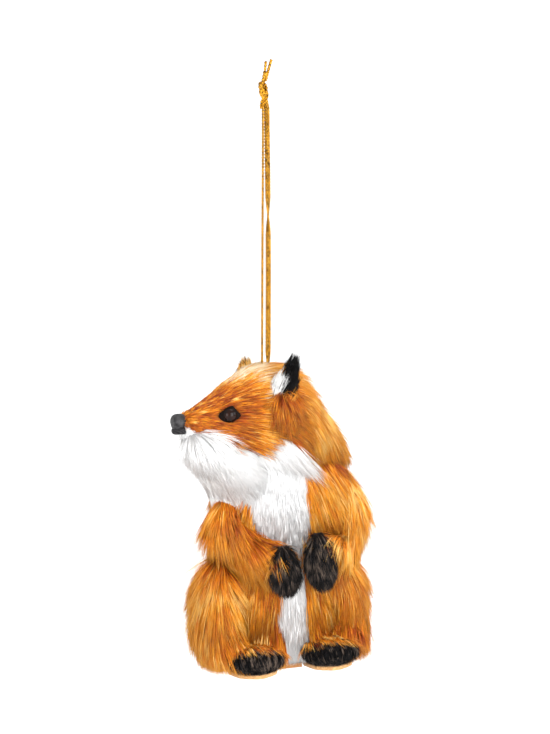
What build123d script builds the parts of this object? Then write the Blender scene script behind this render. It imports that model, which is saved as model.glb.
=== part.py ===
from build123d import *
from math import cos, radians, sin, tan
import os

os.makedirs("parts", exist_ok=True)

# A hanging fox ornament that sits up on its haunches: dyed fur glued in panels over a
# foam body, on a loop of flat gold braid. Millimetres, +Z up, the chest towards -Y. The
# origin is inside the top of the loop, where it hangs on a hook.

# Gold cord: a flat braid, doubled through the staple in the head and knotted on top
cord_width = 1.5
cord_thick = 0.6
loop_drop = 73.5
knot_height = 8.0
knot_width = 2.4
tail_length = 5.0
tail_gap = 0.5

# Wire staple that the cord passes under
wire_radius = 0.5
wire_play = 0.05
staple_span = 4.2
staple_depth = 9.0
staple_bend = 1.0
swing = 25.0
swing_clear = 0.3

# How the fox hangs: the neck's top below the staple bar, leaning as it balances
neck_drop = 23.1
seat_side = 7.3
lean = 4.5
head_yaw = 78.0

# Fur and foam of the body
sole_thick = 1.2
coat = 4.0
torso_height = 58.0
torso_half_width = 23.0
torso_half_depth = 20.0
belly_width = 7.0
flank_back = 6.0
neck_peg_radius = 2.5
neck_peg_length = 24.0

# Fur and foam of the head
head_reach = 28.0
head_half_width = 16.0
head_half_height = 18.0
bar_sink = 1.7
jaw_slope = 20.0

# Throat ruff below the chin
ruff_height = 24.0
ruff_half_length = 11.5
ruff_half_width = 12.5

# Ears
ear_length = 16.0
ear_half_width = 4.6
ear_half_thick = 2.4
ear_splay = 12.0
ear_rake = 8.0
ear_turn = 40.0

# Eyes, nose and mouth
eye_radius = 2.5
eye_turn = 25.0
shank_radius = 0.5
shank_length = 3.0
lid_radius = 0.7
lid_forward = 0.6
nose_half_width = 2.6
nose_half_height = 2.4
nose_length = 4.2
nose_sink = 0.8
mouth_width = 0.7
mouth_height = 2.4
mouth_thick = 2.0

# Arms, paws, haunches, feet and tail
arm_radius = 7.0
paw_length = 15.0
paw_half_width = 4.4
paw_half_depth = 3.6
haunch_height = 30.0
haunch_half_width = 9.0
haunch_half_depth = 15.0
foot_length = 17.0
foot_half_width = 8.0
foot_half_height = 4.2
sole_half_width = 7.4
sole_half_length = 12.0
tail_radius = 7.5

# Rows are a place along the piece, a shift to the side, a shift back or up, and the two
# half sizes, each a share of the piece's own size
torso_shares = [
    (0.0, -0.05, 0.05, 0.75, 0.76),
    (0.13, -0.06, 0.05, 0.93, 0.93),
    (0.3, -0.06, 0.06, 0.99, 1.0),
    (0.47, 0.0, 0.05, 0.95, 0.96),
    (0.64, 0.08, 0.03, 0.98, 0.9),
    (0.77, 0.1, 0.03, 0.85, 0.8),
    (0.88, 0.09, 0.03, 0.66, 0.66),
    (1.0, 0.07, 0.03, 0.5, 0.52),
]
head_shares = [
    (-0.8, 0, -0.4, 0.3, 0.24),
    (-0.67, 0, -0.33, 0.62, 0.57),
    (-0.44, 0, -0.16, 0.88, 0.86),
    (-0.18, 0, 0.0, 1.0, 1.0),
    (0.14, 0, 0.08, 0.91, 0.92),
    (0.39, 0, 0.11, 0.7, 0.7),
    (0.61, 0, 0.1, 0.49, 0.48),
    (0.79, 0, 0.09, 0.33, 0.32),
    (0.92, 0, 0.08, 0.22, 0.2),
]
ruff_shares = [
    (0.0, -0.13, 0, 0.35, 0.36),
    (0.1, -0.13, 0, 0.74, 0.76),
    (0.31, -0.09, 0, 0.91, 0.96),
    (0.6, 0.17, 0, 1.0, 0.88),
    (0.85, 0.6, 0, 0.87, 0.56),
    (1.0, 0.7, 0, 0.7, 0.36),
]
ear_shares = [
    (0.0, 0, 0, 0.9, 1.0),
    (0.35, 0, 0, 1.0, 0.95),
    (0.7, 0, 0, 0.66, 0.6),
    (1.0, 0, 0, 0.16, 0.2),
]
haunch_shares = [
    (0.0, 0.0, 0.0, 0.72, 0.74),
    (0.22, 0.08, -0.03, 0.96, 0.94),
    (0.5, 0.12, 0.02, 1.0, 1.0),
    (0.8, 0.02, 0.06, 0.74, 0.78),
    (1.0, -0.12, 0.1, 0.34, 0.36),
]
paw_shares = [
    (0.0, 0, -0.1, 0.62, 0.7),
    (0.3, 0, 0.0, 1.0, 1.0),
    (0.7, 0, 0.1, 0.96, 0.96),
    (1.0, 0, 0.3, 0.44, 0.42),
]
foot_shares = [
    (0.0, 0, 0, 0.42, 0.44),
    (0.16, 0, 0, 0.88, 0.86),
    (0.5, 0, 0, 1.0, 1.0),
    (1.0, 0, 0, 0.86, 0.9),
]
foot_sit_share = 0.8
seat_felt_share = 0.97

# Places on the head: side, up and forward, as shares of its half width, half height and
# reach
eye_place_shares = (0.475, 0.3, 0.507)
ear_place_shares = (0.625, 0.306, 0.054)
nose_rise_share = 0.145
jaw_place_shares = (0, 0.04, 0.893)
ruff_place_shares = (0, -1.305, 0.357)
nape_share = -0.214

# Places on the body: side and back, as shares of its half width and half depth
haunch_place_shares = {"right": (-0.843, -0.225), "left": (0.565, -0.225)}
foot_place_shares = {"right": (-0.609, -1.25), "left": (0.33, -1.25)}
nose_shares = [
    (0.0, 0, 0.0, 0.8, 0.8),
    (0.45, 0, 0.1, 1.0, 1.0),
    (0.8, 0, 0.2, 0.86, 0.8),
    (1.0, 0, 0.3, 0.4, 0.36),
]
knot_shares = [
    (0.0, 0, 0, 0.62, 0.7),
    (0.25, 0, 0, 1.0, 1.0),
    (0.5, 0, 0, 0.82, 0.86),
    (0.75, 0, 0, 1.0, 1.0),
    (1.0, 0, 0, 0.7, 0.7),
]

# Routes of the arms and the tail. Rows are side, back and up, as shares of the body's half
# width, half depth and height, then the radius as a share of the limb's own
arm_route_shares = {
    "right": [
        (-0.6, -0.12, 0.81, 0.64),
        (-0.73, -0.36, 0.7, 0.98),
        (-0.63, -0.64, 0.57, 0.94),
        (-0.4, -0.92, 0.53, 0.68),
        (-0.26, -1.02, 0.54, 0.5),
    ],
    "left": [
        (0.72, -0.12, 0.85, 0.66),
        (0.79, -0.36, 0.72, 0.94),
        (0.7, -0.64, 0.6, 0.88),
        (0.46, -0.92, 0.58, 0.66),
        (0.32, -1.02, 0.59, 0.5),
    ],
}
paw_place_shares = {"right": (-0.2, -1.12, 0.615), "left": (0.25, -1.12, 0.66)}
tail_route_shares = [
    (0.05, 1.02, 0.2, 0.56),
    (0.3, 1.2, 0.17, 0.84),
    (0.58, 1.2, 0.165, 1.0),
    (0.84, 1.05, 0.18, 0.84),
    (1.02, 0.84, 0.205, 0.52),
    (1.09, 0.7, 0.22, 0.22),
]
tail_tip_step = 4

# Planes: the staple bar runs front to back through the top of the head, the fox leans on
# its own seat plane, and the head looks over the fox's right shoulder
up = Vector(0, 0, 1)
bar = Vector(0, 0, -loop_drop)
upright = Vector(-sin(radians(lean)), 0, cos(radians(lean)))
seat = Plane(
    origin=(seat_side, 0, bar.Z - neck_drop - torso_height - sole_thick),
    x_dir=(cos(radians(lean)), 0, sin(radians(lean))),
    z_dir=upright,
)
body = seat.offset(sole_thick)
forward = Vector(-sin(radians(head_yaw)), -cos(radians(head_yaw)), 0)
sideways = Vector(cos(radians(head_yaw)), -sin(radians(head_yaw)), 0)
skull = Plane(
    origin=bar - up * (head_half_height - bar_sink), x_dir=sideways, z_dir=forward
)


def on_head(side, rise, reach):
    """A place on the head from its shares of half width, half height and reach."""
    return skull.from_local_coords(
        Vector(side * head_half_width, rise * head_half_height, reach * head_reach)
    )


throat = Plane(origin=on_head(*ruff_place_shares), x_dir=forward, z_dir=up)
jaw = Plane(
    origin=on_head(*jaw_place_shares),
    x_dir=sideways,
    z_dir=up * cos(radians(jaw_slope)) - forward * sin(radians(jaw_slope)),
)
nape = skull.offset(nape_share * head_reach)


def ring(plane, side, rise, half_width, half_height):
    """A closed section of a stuffed form: four quarter ovals round a centre on the plane."""
    with BuildSketch(plane) as section:
        with BuildLine():
            for start in (0, 90, 180, 270):
                EllipticalCenterArc((side, rise), half_width, half_height, start, arc_size=90)
        make_face()
    return section.sketch


def stuffed(plane, length, half_width, half_height, shares, skin=0, mirror=1):
    """Sections of a form that swells and tapers along its plane's normal, less a skin."""
    rings = []
    for at, side, rise, wide, tall in shares:
        rings.append(
            ring(
                plane.offset(at * length),
                mirror * side * half_width,
                rise * half_height,
                wide * (half_width - skin),
                tall * (half_height - skin),
            )
        )
    return rings


def limb(places, radii):
    """Round sections square to a bent route, each with its own radius."""
    rings = []
    for step, (place, radius) in enumerate(zip(places, radii)):
        rings.append(ring(across_route(places, step), 0, 0, radius, radius))
    return rings


def across_route(places, step):
    """The plane square to a route at one of its places."""
    ahead = places[min(step + 1, len(places) - 1)]
    behind = places[max(step - 1, 0)]
    way = (ahead - behind).normalized()
    return Plane(places[step], x_dir=upright.cross(way).normalized(), z_dir=way)


def on_seat(side, back, rise):
    """A place on the body from its shares of half width, half depth and height."""
    return seat.from_local_coords(
        Vector(side * torso_half_width, back * torso_half_depth, rise * torso_height)
    )


def save(piece, name):
    """Label a finished piece and write its file."""
    piece.part.label = name
    export_step(piece.part, f"parts/{name}.step")


# Gold cord: the bight round the staple bar, two strands, the knot and its tails
cord_middle = wire_radius + wire_play + cord_thick / 2
cord_outside = cord_middle + cord_thick / 2

with BuildPart() as cord_bight:
    with BuildSketch(Plane(bar)):
        with Locations((cord_middle, 0)):
            Rectangle(cord_thick, cord_width)
    revolve(axis=Axis(bar, (0, 1, 0)), revolution_arc=180)
save(cord_bight, "cord_bight")

for side, name in ((-1, "left"), (1, "right")):
    with BuildPart() as strand:
        with BuildSketch(Plane(bar)):
            with Locations((side * cord_middle, 0)):
                Rectangle(cord_thick, cord_width)
        with BuildSketch(Plane.XY):
            with Locations((side * (cord_thick + tail_gap) / 2, 0)):
                Rectangle(cord_thick, cord_width)
        loft(ruled=True)
    save(strand, f"cord_strand_{name}")

with BuildPart() as top_knot:
    loft(sections=stuffed(Plane.XY, knot_height, knot_width / 2, knot_width / 2, knot_shares))
save(top_knot, "top_knot")

for side, name in ((-1, "left"), (1, "right")):
    tail_start = side * (cord_thick + tail_gap) / 2
    with BuildPart() as cord_tail:
        with BuildSketch(Plane.XY.offset(knot_height)):
            with Locations((tail_start, 0)):
                Rectangle(cord_thick, cord_width)
        with BuildSketch(Plane.XY.offset(knot_height + tail_length)):
            with Locations((tail_start + knot_width / 2, 0)):
                Rectangle(cord_thick, cord_width)
        loft(ruled=True)
    save(cord_tail, f"cord_tail_{name}")

# Staple, and the fan-shaped slot in the crown fur where the cord swings
with BuildPart() as hanger_staple:
    with BuildLine(Plane.YZ.offset(bar.X)):
        FilletPolyline(
            (-staple_span / 2, bar.Z - staple_depth),
            (-staple_span / 2, bar.Z),
            (staple_span / 2, bar.Z),
            (staple_span / 2, bar.Z - staple_depth),
            radius=staple_bend,
        )
    with BuildSketch(Plane((0, -staple_span / 2, bar.Z - staple_depth))):
        Circle(wire_radius)
    sweep()
save(hanger_staple, "hanger_staple")

slot_reach = cord_outside / cos(radians(swing)) + swing_clear
slot_top = head_half_height
slot_spread = slot_reach + slot_top * tan(radians(swing))
with BuildPart() as cord_slot:
    with BuildSketch(Plane.XZ):
        with BuildLine():
            Polyline(
                (-slot_reach, bar.Z),
                (slot_reach, bar.Z),
                (slot_spread, bar.Z + slot_top),
                (-slot_spread, bar.Z + slot_top),
                close=True,
            )
        make_face()
        with Locations((0, bar.Z)):
            Circle(slot_reach)
    extrude(amount=cord_width / 2 + swing_clear, both=True)

# Eyes: glass beads with wire shanks, each in a dark lid
eyes = {}
lids = {}
for side, name in ((-1, "right"), (1, "left")):
    look = (
        sideways * side * cos(radians(eye_turn)) + forward * sin(radians(eye_turn))
    ).normalized()
    eye_side, eye_rise, eye_forward = eye_place_shares
    socket = Plane(on_head(side * eye_side, eye_rise, eye_forward), x_dir=up, z_dir=look)
    with BuildPart(socket) as eye:
        Sphere(eye_radius)
        Cylinder(
            shank_radius,
            eye_radius + shank_length,
            align=(Align.CENTER, Align.CENTER, Align.MAX),
        )
    save(eye, f"eye_{name}")
    lid_middle = socket.offset(lid_forward).origin
    with BuildPart() as lid:
        with BuildSketch(Plane(lid_middle, x_dir=up, z_dir=look.cross(up))):
            with Locations((eye_radius, 0)):
                Circle(lid_radius)
        revolve(axis=Axis(lid_middle, look))
        add(eye.part, mode=Mode.SUBTRACT)
    save(lid, f"eyelid_{name}")
    eyes[name] = eye.part
    lids[name] = lid.part

muzzle_share = head_shares[-1][0]
nose_root = on_head(0, nose_rise_share, muzzle_share)
with BuildPart() as nose:
    loft(
        sections=stuffed(
            Plane(nose_root - forward * nose_sink, x_dir=sideways, z_dir=forward),
            nose_length,
            nose_half_width,
            nose_half_height,
            nose_shares,
        )
    )
save(nose, "nose")

# Body: a foam core, with its outer form to the tips of the fur
with BuildPart() as torso_form:
    loft(
        sections=stuffed(body, torso_height, torso_half_width, torso_half_depth, torso_shares)
    )

neck_place = body.offset(torso_height - neck_peg_length / 2).from_local_coords(
    Vector(torso_shares[-1][1] * torso_half_width, torso_shares[-1][2] * torso_half_depth, 0)
)
with BuildPart(Plane(neck_place, x_dir=seat.x_dir, z_dir=upright)) as neck_peg:
    Cylinder(
        neck_peg_radius, neck_peg_length, align=(Align.CENTER, Align.CENTER, Align.MIN)
    )
save(neck_peg, "neck_peg")

with BuildPart() as torso_core:
    loft(
        sections=stuffed(
            body, torso_height, torso_half_width, torso_half_depth, torso_shares, coat
        )
    )
    torso_solid = torso_core.part
    add(neck_peg.part, mode=Mode.SUBTRACT)
save(torso_core, "torso_core")

# Head: a foam core on the neck peg, with its outer form to the tips of the fur
with BuildPart() as head_form:
    loft(sections=stuffed(skull, head_reach, head_half_width, head_half_height, head_shares))

with BuildPart() as head_core:
    loft(
        sections=stuffed(
            skull, head_reach - coat, head_half_width, head_half_height, head_shares, coat
        )
    )
    add(torso_form.part, mode=Mode.SUBTRACT)
    head_solid = head_core.part
    add(neck_peg.part, mode=Mode.SUBTRACT)
    add(hanger_staple.part, mode=Mode.SUBTRACT)
    add(cord_slot.part, mode=Mode.SUBTRACT)
    add(list(eyes.values()) + [nose.part], mode=Mode.SUBTRACT)
save(head_core, "head_core")

# Fur of the head: the orange face with the crown, the white jaw and the orange nape
with BuildPart() as head_fur:
    add(head_form.part)
    add(head_solid, mode=Mode.SUBTRACT)
    add(torso_form.part, mode=Mode.SUBTRACT)
    add([hanger_staple.part, neck_peg.part], mode=Mode.SUBTRACT)
    add(cord_slot.part, mode=Mode.SUBTRACT)
    add(list(eyes.values()) + list(lids.values()), mode=Mode.SUBTRACT)
    add(nose.part, mode=Mode.SUBTRACT)

with BuildPart() as face_fur:
    add(head_fur.part)
    split(bisect_by=nape, keep=Keep.TOP)
    split(bisect_by=jaw, keep=Keep.TOP)
save(face_fur, "face_fur")

with BuildPart() as jaw_fur:
    add(head_fur.part)
    split(bisect_by=nape, keep=Keep.TOP)
    split(bisect_by=jaw, keep=Keep.BOTTOM)
save(jaw_fur, "jaw_fur")

with BuildPart() as nape_fur:
    add(head_fur.part)
    split(bisect_by=nape, keep=Keep.BOTTOM)
save(nape_fur, "nape_fur")

with BuildPart() as throat_ruff:
    loft(
        sections=stuffed(throat, ruff_height, ruff_half_length, ruff_half_width, ruff_shares)
    )
    add(torso_form.part, mode=Mode.SUBTRACT)
    add(head_form.part, mode=Mode.SUBTRACT)
    add(nose.part, mode=Mode.SUBTRACT)
save(throat_ruff, "throat_ruff")

with BuildPart() as mouth_line:
    with BuildSketch(skull.offset(muzzle_share * head_reach)):
        with Locations((0, nose_rise_share * head_half_height - nose_half_height)):
            Rectangle(mouth_width, mouth_height)
    extrude(amount=mouth_thick)
    add(head_form.part, mode=Mode.SUBTRACT)
    add(throat_ruff.part, mode=Mode.SUBTRACT)
    add(nose.part, mode=Mode.SUBTRACT)
save(mouth_line, "mouth_line")

# Ears: a leaf of hide each, dark behind and white inside
for side, name in ((-1, "right"), (1, "left")):
    rise = (
        up
        + sideways * side * tan(radians(ear_splay))
        - forward * tan(radians(ear_rake))
    ).normalized()
    opening = (
        sideways * side * sin(radians(ear_turn)) + forward * cos(radians(ear_turn))
    ).normalized()
    across = opening.cross(rise).normalized()
    ear_side, ear_rise, ear_forward = ear_place_shares
    root = Plane(on_head(side * ear_side, ear_rise, ear_forward), x_dir=across, z_dir=rise)
    middle = Plane(root.origin, x_dir=across, z_dir=rise.cross(across))
    with BuildPart() as ear_form:
        loft(sections=stuffed(root, ear_length, ear_half_width, ear_half_thick, ear_shares))
        add(head_form.part, mode=Mode.SUBTRACT)
    with BuildPart() as ear:
        add(ear_form.part)
        split(bisect_by=middle, keep=Keep.BOTTOM)
    save(ear, f"ear_{name}")
    with BuildPart() as ear_lining:
        add(ear_form.part)
        split(bisect_by=middle, keep=Keep.TOP)
    save(ear_lining, f"ear_lining_{name}")

# Fur of the body: a white belly strip, two flanks and the back
with BuildPart() as torso_fur:
    add(torso_form.part)
    add(torso_solid, mode=Mode.SUBTRACT)

flank_start = Plane(seat.origin, x_dir=seat.z_dir, z_dir=seat.x_dir)
back_start = Plane(
    seat.from_local_coords(Vector(0, flank_back, 0)), x_dir=seat.z_dir, z_dir=seat.y_dir
)
with BuildPart() as belly_fur:
    add(torso_fur.part)
    split(bisect_by=back_start, keep=Keep.BOTTOM)
    split(bisect_by=flank_start.offset(-belly_width / 2), keep=Keep.TOP)
    split(bisect_by=flank_start.offset(belly_width / 2), keep=Keep.BOTTOM)
save(belly_fur, "belly_fur")

for side, kept, name in ((-1, Keep.BOTTOM, "right"), (1, Keep.TOP, "left")):
    with BuildPart() as flank:
        add(torso_fur.part)
        split(bisect_by=back_start, keep=Keep.BOTTOM)
        split(bisect_by=flank_start.offset(side * belly_width / 2), keep=kept)
    save(flank, f"flank_fur_{name}")

with BuildPart() as back_fur:
    add(torso_fur.part)
    split(bisect_by=back_start, keep=Keep.TOP)
save(back_fur, "back_fur")

# Arms crossed to the chest, with black paws
arms = {}
for name, route_shares in arm_route_shares.items():
    with BuildPart() as arm:
        loft(
            sections=limb(
                [on_seat(*row[:3]) for row in route_shares],
                [row[3] * arm_radius for row in route_shares],
            )
        )
        add(torso_form.part, mode=Mode.SUBTRACT)
        add(head_form.part, mode=Mode.SUBTRACT)
        add(throat_ruff.part, mode=Mode.SUBTRACT)
    save(arm, f"arm_fur_{name}")
    arms[name] = arm.part

paws = {}
for name, place in paw_place_shares.items():
    with BuildPart() as paw:
        loft(
            sections=stuffed(
                Plane(on_seat(*place), x_dir=seat.x_dir, z_dir=-upright),
                paw_length,
                paw_half_width,
                paw_half_depth,
                paw_shares,
            )
        )
        add(torso_form.part, mode=Mode.SUBTRACT)
        add(list(arms.values()) + list(paws.values()), mode=Mode.SUBTRACT)
    save(paw, f"paw_{name}")
    paws[name] = paw.part

# Haunches, feet and soles
haunches = {}
soles = []
for side, name in ((-1, "right"), (1, "left")):
    haunch_side, haunch_back = haunch_place_shares[name]
    haunch_place = on_seat(haunch_side, haunch_back, 0) + upright * sole_thick
    with BuildPart() as haunch:
        loft(
            sections=stuffed(
                Plane(haunch_place, x_dir=seat.x_dir, z_dir=upright),
                haunch_height,
                haunch_half_width,
                haunch_half_depth,
                haunch_shares,
                mirror=side,
            )
        )
        add(torso_form.part, mode=Mode.SUBTRACT)
        add(list(arms.values()) + list(paws.values()), mode=Mode.SUBTRACT)
    save(haunch, f"haunch_fur_{name}")
    haunches[name] = haunch.part

    foot_tip = on_seat(*foot_place_shares[name], 0)
    foot_middle = foot_tip + upright * (sole_thick + foot_half_height * foot_sit_share)
    with BuildPart() as foot:
        loft(
            sections=stuffed(
                Plane(foot_middle, x_dir=seat.x_dir, z_dir=seat.y_dir),
                foot_length,
                foot_half_width,
                foot_half_height,
                foot_shares,
            )
        )
        split(bisect_by=body, keep=Keep.TOP)
        add(torso_form.part, mode=Mode.SUBTRACT)
        add(haunch.part, mode=Mode.SUBTRACT)
    save(foot, f"foot_{name}")

    with BuildPart() as sole:
        with BuildSketch(Plane(foot_tip, x_dir=seat.x_dir, z_dir=upright)):
            with Locations((0, sole_half_length)):
                Ellipse(sole_half_width, sole_half_length)
        extrude(amount=sole_thick)
    save(sole, f"sole_{name}")
    soles.append(sole.part)

with BuildPart() as base_felt:
    felt_side, felt_back, wide, deep = torso_shares[0][1:]
    with BuildSketch(seat):
        with Locations((felt_side * torso_half_width, felt_back * torso_half_depth)):
            Ellipse(
                seat_felt_share * wide * torso_half_width,
                seat_felt_share * deep * torso_half_depth,
            )
    extrude(amount=sole_thick)
    add(soles, mode=Mode.SUBTRACT)
save(base_felt, "base_felt")

# Brush, curled round behind the left haunch, with its white tip
tail_places = [on_seat(*row[:3]) for row in tail_route_shares]
with BuildPart() as tail_form:
    loft(sections=limb(tail_places, [row[3] * tail_radius for row in tail_route_shares]))
    add(torso_form.part, mode=Mode.SUBTRACT)
    add(haunches["left"], mode=Mode.SUBTRACT)

tip_start = across_route(tail_places, tail_tip_step)
with BuildPart() as tail_fur:
    add(tail_form.part)
    split(bisect_by=tip_start, keep=Keep.BOTTOM)
save(tail_fur, "tail_fur")

with BuildPart() as tail_tip:
    add(tail_form.part)
    split(bisect_by=tip_start, keep=Keep.TOP)
save(tail_tip, "tail_tip")

loop_length = 2 * (loop_drop + knot_height) + 2 * tail_length
print("cord length in the loop and its tails, mm:", loop_length)
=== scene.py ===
"""A fox ornament on a loop of gold braid, dressed in dyed fur, in the frame of its CAD model."""

import bpy
import numpy as np
from mathutils import Matrix, Vector


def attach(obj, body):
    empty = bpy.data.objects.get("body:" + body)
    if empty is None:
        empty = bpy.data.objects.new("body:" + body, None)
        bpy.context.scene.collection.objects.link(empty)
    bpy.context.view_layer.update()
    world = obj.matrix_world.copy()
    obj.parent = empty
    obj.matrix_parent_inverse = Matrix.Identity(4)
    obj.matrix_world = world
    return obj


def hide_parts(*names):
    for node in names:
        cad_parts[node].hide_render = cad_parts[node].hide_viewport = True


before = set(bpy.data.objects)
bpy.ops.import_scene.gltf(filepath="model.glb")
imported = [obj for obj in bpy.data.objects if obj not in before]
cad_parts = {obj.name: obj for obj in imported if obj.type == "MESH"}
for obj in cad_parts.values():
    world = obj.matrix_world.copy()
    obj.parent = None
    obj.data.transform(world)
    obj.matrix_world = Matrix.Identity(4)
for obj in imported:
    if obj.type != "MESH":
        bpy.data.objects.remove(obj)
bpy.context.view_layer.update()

# Camera. A long lens level with the top of the cord, to the fox's right of its chest. Its
# frame takes in the whole ornament, which is about 170 mm tall.
camera_turn, camera_rise = np.radians(-13), np.radians(8)
camera_far = 3.0
frame_wide = 0.154
frame_middle = (0.0028, -0.072, 0.012)

across_view = np.array([np.cos(camera_turn), np.sin(camera_turn), 0])
into_view = np.array(
    [
        -np.sin(camera_turn) * np.cos(camera_rise),
        np.cos(camera_turn) * np.cos(camera_rise),
        -np.sin(camera_rise),
    ]
)
up_view = np.cross(across_view, into_view)

camera_data = bpy.data.cameras.new("camera")
camera_data.sensor_fit = "HORIZONTAL"
camera_data.sensor_width = 36
camera_data.lens = camera_data.sensor_width * camera_far / frame_wide
camera_data.clip_start = 0.01
camera_data.clip_end = 20
camera = bpy.data.objects.new("camera", camera_data)
middle = np.array([across_view, up_view, into_view]).T @ np.array(frame_middle)
turned = Matrix(np.array([across_view, up_view, -into_view]).T.tolist()).to_4x4()
turned.translation = (middle - into_view * camera_far).tolist()
camera.matrix_world = turned
bpy.context.scene.collection.objects.link(camera)
bpy.context.scene.camera = camera
bpy.context.scene.view_settings.view_transform = "Standard"


# Finishes. Shader maths is written as expressions on one socket of a material, and every
# other node comes from the methods beside them.
class Dye:
    """One socket of a material's nodes. Arithmetic on it adds Math nodes."""

    def __init__(self, tree, socket=None):
        self.tree = tree
        self.socket = socket

    def add(self, kind, settings=None, sockets=None, output=0):
        """A node of that kind, with its settings made first and its sockets filled."""
        node = self.tree.nodes.new(kind)
        for name, value in (settings or {}).items():
            if name == "stops":
                ramp = node.color_ramp.elements
                while len(ramp) < len(value):
                    ramp.new(0.5)
                for stop, (place, colour) in zip(ramp, value):
                    stop.position = place
                    stop.color = tint(*colour)
            else:
                setattr(node, name, value)
        for name, value in (sockets or {}).items():
            self.fill(node.inputs[name], value)
        return Dye(self.tree, node.outputs[output] if node.outputs else None)

    def fill(self, socket, value):
        """Links a socket to a Dye, or sets it to a plain value."""
        if isinstance(value, Dye):
            self.tree.links.new(value.socket, socket)
        else:
            socket.default_value = value

    def maths(self, operation, first, second):
        """The operation on two values, as a Math node."""
        return self.add("ShaderNodeMath", {"operation": operation}, {0: first, 1: second})

    def __add__(self, other):
        return self.maths("ADD", self, other)

    __radd__ = __add__

    def __mul__(self, other):
        return self.maths("MULTIPLY", self, other)

    def __rsub__(self, other):
        return self.maths("SUBTRACT", other, self)

    def clamped(self, low, high):
        """Its share of the way from low to high, from nothing to one."""
        sockets = {"Value": self, "From Min": low, "From Max": high}
        return self.add("ShaderNodeMapRange", {"clamp": True}, sockets)

    def blend(self, first, second):
        """Two colours mixed by this much of the second."""
        sockets = {"Factor": self, 6: first, 7: second}
        return self.add("ShaderNodeMix", {"data_type": "RGBA"}, sockets, output=2)

    def texture(self, kind, scale, detail=None, stretch=None, settings=None):
        """A texture in Object coordinates, which stretch scales along each axis first."""
        place = self.add("ShaderNodeTexCoord", output="Object")
        if stretch:
            place = self.add("ShaderNodeMapping", None, {"Vector": place, "Scale": stretch})
        sockets = {"Vector": place, "Scale": scale}
        if detail:
            sockets["Detail"] = detail
        return self.add(f"ShaderNodeTex{kind}", settings, sockets)

    def bump(self, distance, strength):
        """A normal that follows this height."""
        sockets = {"Height": self, "Distance": distance, "Strength": strength}
        return self.add("ShaderNodeBump", None, sockets)


def tint(red, green, blue):
    """A colour as the eye names it, from 0 to 255, as the linear share that a shader takes."""
    share = np.array([red, green, blue]) / 255
    linear = np.where(share <= 0.04045, share / 12.92, ((share + 0.055) / 1.055) ** 2.4)
    return (*linear, 1)


def new_finish(name, **constants):
    """A material with its Principled shader's constant sockets set, and a Dye to start from."""
    material = bpy.data.materials.new(name)
    material.use_nodes = True
    shader = material.node_tree.nodes["Principled BSDF"]
    for socket, value in constants.items():
        shader.inputs[socket.replace("_", " ")].default_value = value
    return material, Dye(material.node_tree), shader.inputs


def grained(name, grain, dark, pale, span=(0.3, 0.7), bump=None, **constants):
    """A finish of two colours, mixed over a span of a texture's values, and a bump of the
    same texture where its depth and strength are given. Returns the material, the shader's
    sockets, the texture and the colour."""
    material, start, sockets = new_finish(name, **constants)
    texture = start.texture(*grain)
    colour = texture.clamped(*span).blend(tint(*dark), tint(*pale))
    start.fill(sockets["Base Color"], colour)
    if bump:
        start.fill(sockets["Normal"], texture.bump(*bump))
    return material, sockets, texture, colour


# Studio. White walls light the ornament from all round, with large soft lamps in front, at
# both sides, above and low in front. The floor is far below the feet.
wall_light = 0.9
floor_drop = 0.31
floor_half = 6
lamps = {
    "lamp_front": ((0.22, -0.95, 0.18), 0.7, 8.6),
    "lamp_right": ((0.8, -0.5, 0.2), 0.5, 3.0),
    "lamp_left": ((-0.85, -0.5, 0.0), 0.5, 3.6),
    "lamp_top": ((0.15, -0.1, 0.8), 0.5, 2.0),
    "lamp_low": ((0.1, -0.8, -0.26), 0.5, 2.4),
}
aim = np.array([0.004, 0.0, -0.115])

world = bpy.data.worlds.new("studio")
world.use_nodes = True
bpy.context.scene.world = world
world.node_tree.nodes.clear()
start = Dye(world.node_tree)


def seen_directly(dye):
    """One where a ray comes from the camera, a mirror or glass, and nothing elsewhere."""
    rays = [dye.add("ShaderNodeLightPath", output=name) for name in
            ("Is Camera Ray", "Is Glossy Ray", "Is Transmission Ray")]
    return (rays[0] + rays[1] + rays[2]).clamped(0, 1)


dim = start.add("ShaderNodeBackground", None, {"Color": (1, 1, 1, 1), "Strength": wall_light})
white = start.add("ShaderNodeBackground", None, {"Color": (1, 1, 1, 1), "Strength": 1})
walls = start.add("ShaderNodeMixShader", None, {0: seen_directly(start), 1: dim, 2: white})
start.add("ShaderNodeOutputWorld", None, {"Surface": walls})

for name, (place, wide, power) in lamps.items():
    light = bpy.data.lights.new(name, "AREA")
    light.shape = "SQUARE"
    light.size = wide
    light.energy = power
    lamp = bpy.data.objects.new(name, light)
    lamp.rotation_euler = Vector(np.array(place) - aim).to_track_quat("Z", "Y").to_euler()
    lamp.location = place
    bpy.context.scene.collection.objects.link(lamp)

floor_paint = bpy.data.materials.new("floor paint")
floor_paint.use_nodes = True
floor_paint.node_tree.nodes.clear()
start = Dye(floor_paint.node_tree)
matt = start.add("ShaderNodeBsdfDiffuse", None, {"Color": (0.8, 0.8, 0.8, 1)})
glow = start.add("ShaderNodeEmission", None, {"Color": (1, 1, 1, 1), "Strength": 0.5})
lit = start.add("ShaderNodeAddShader", None, {0: matt, 1: glow})
mixed = start.add("ShaderNodeMixShader", None, {0: seen_directly(start), 1: matt, 2: lit})
start.add("ShaderNodeOutputMaterial", None, {"Surface": mixed})

floor_mesh = bpy.data.meshes.new("floor")
corners = floor_half * np.array([(-1, -1, 0), (1, -1, 0), (1, 1, 0), (-1, 1, 0)])
floor_mesh.from_pydata((corners - (0, 0, floor_drop)).tolist(), [], [(0, 1, 2, 3)])
floor = bpy.data.objects.new("floor", floor_mesh)
floor_mesh.materials.append(floor_paint)
bpy.context.scene.collection.objects.link(floor)

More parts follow.
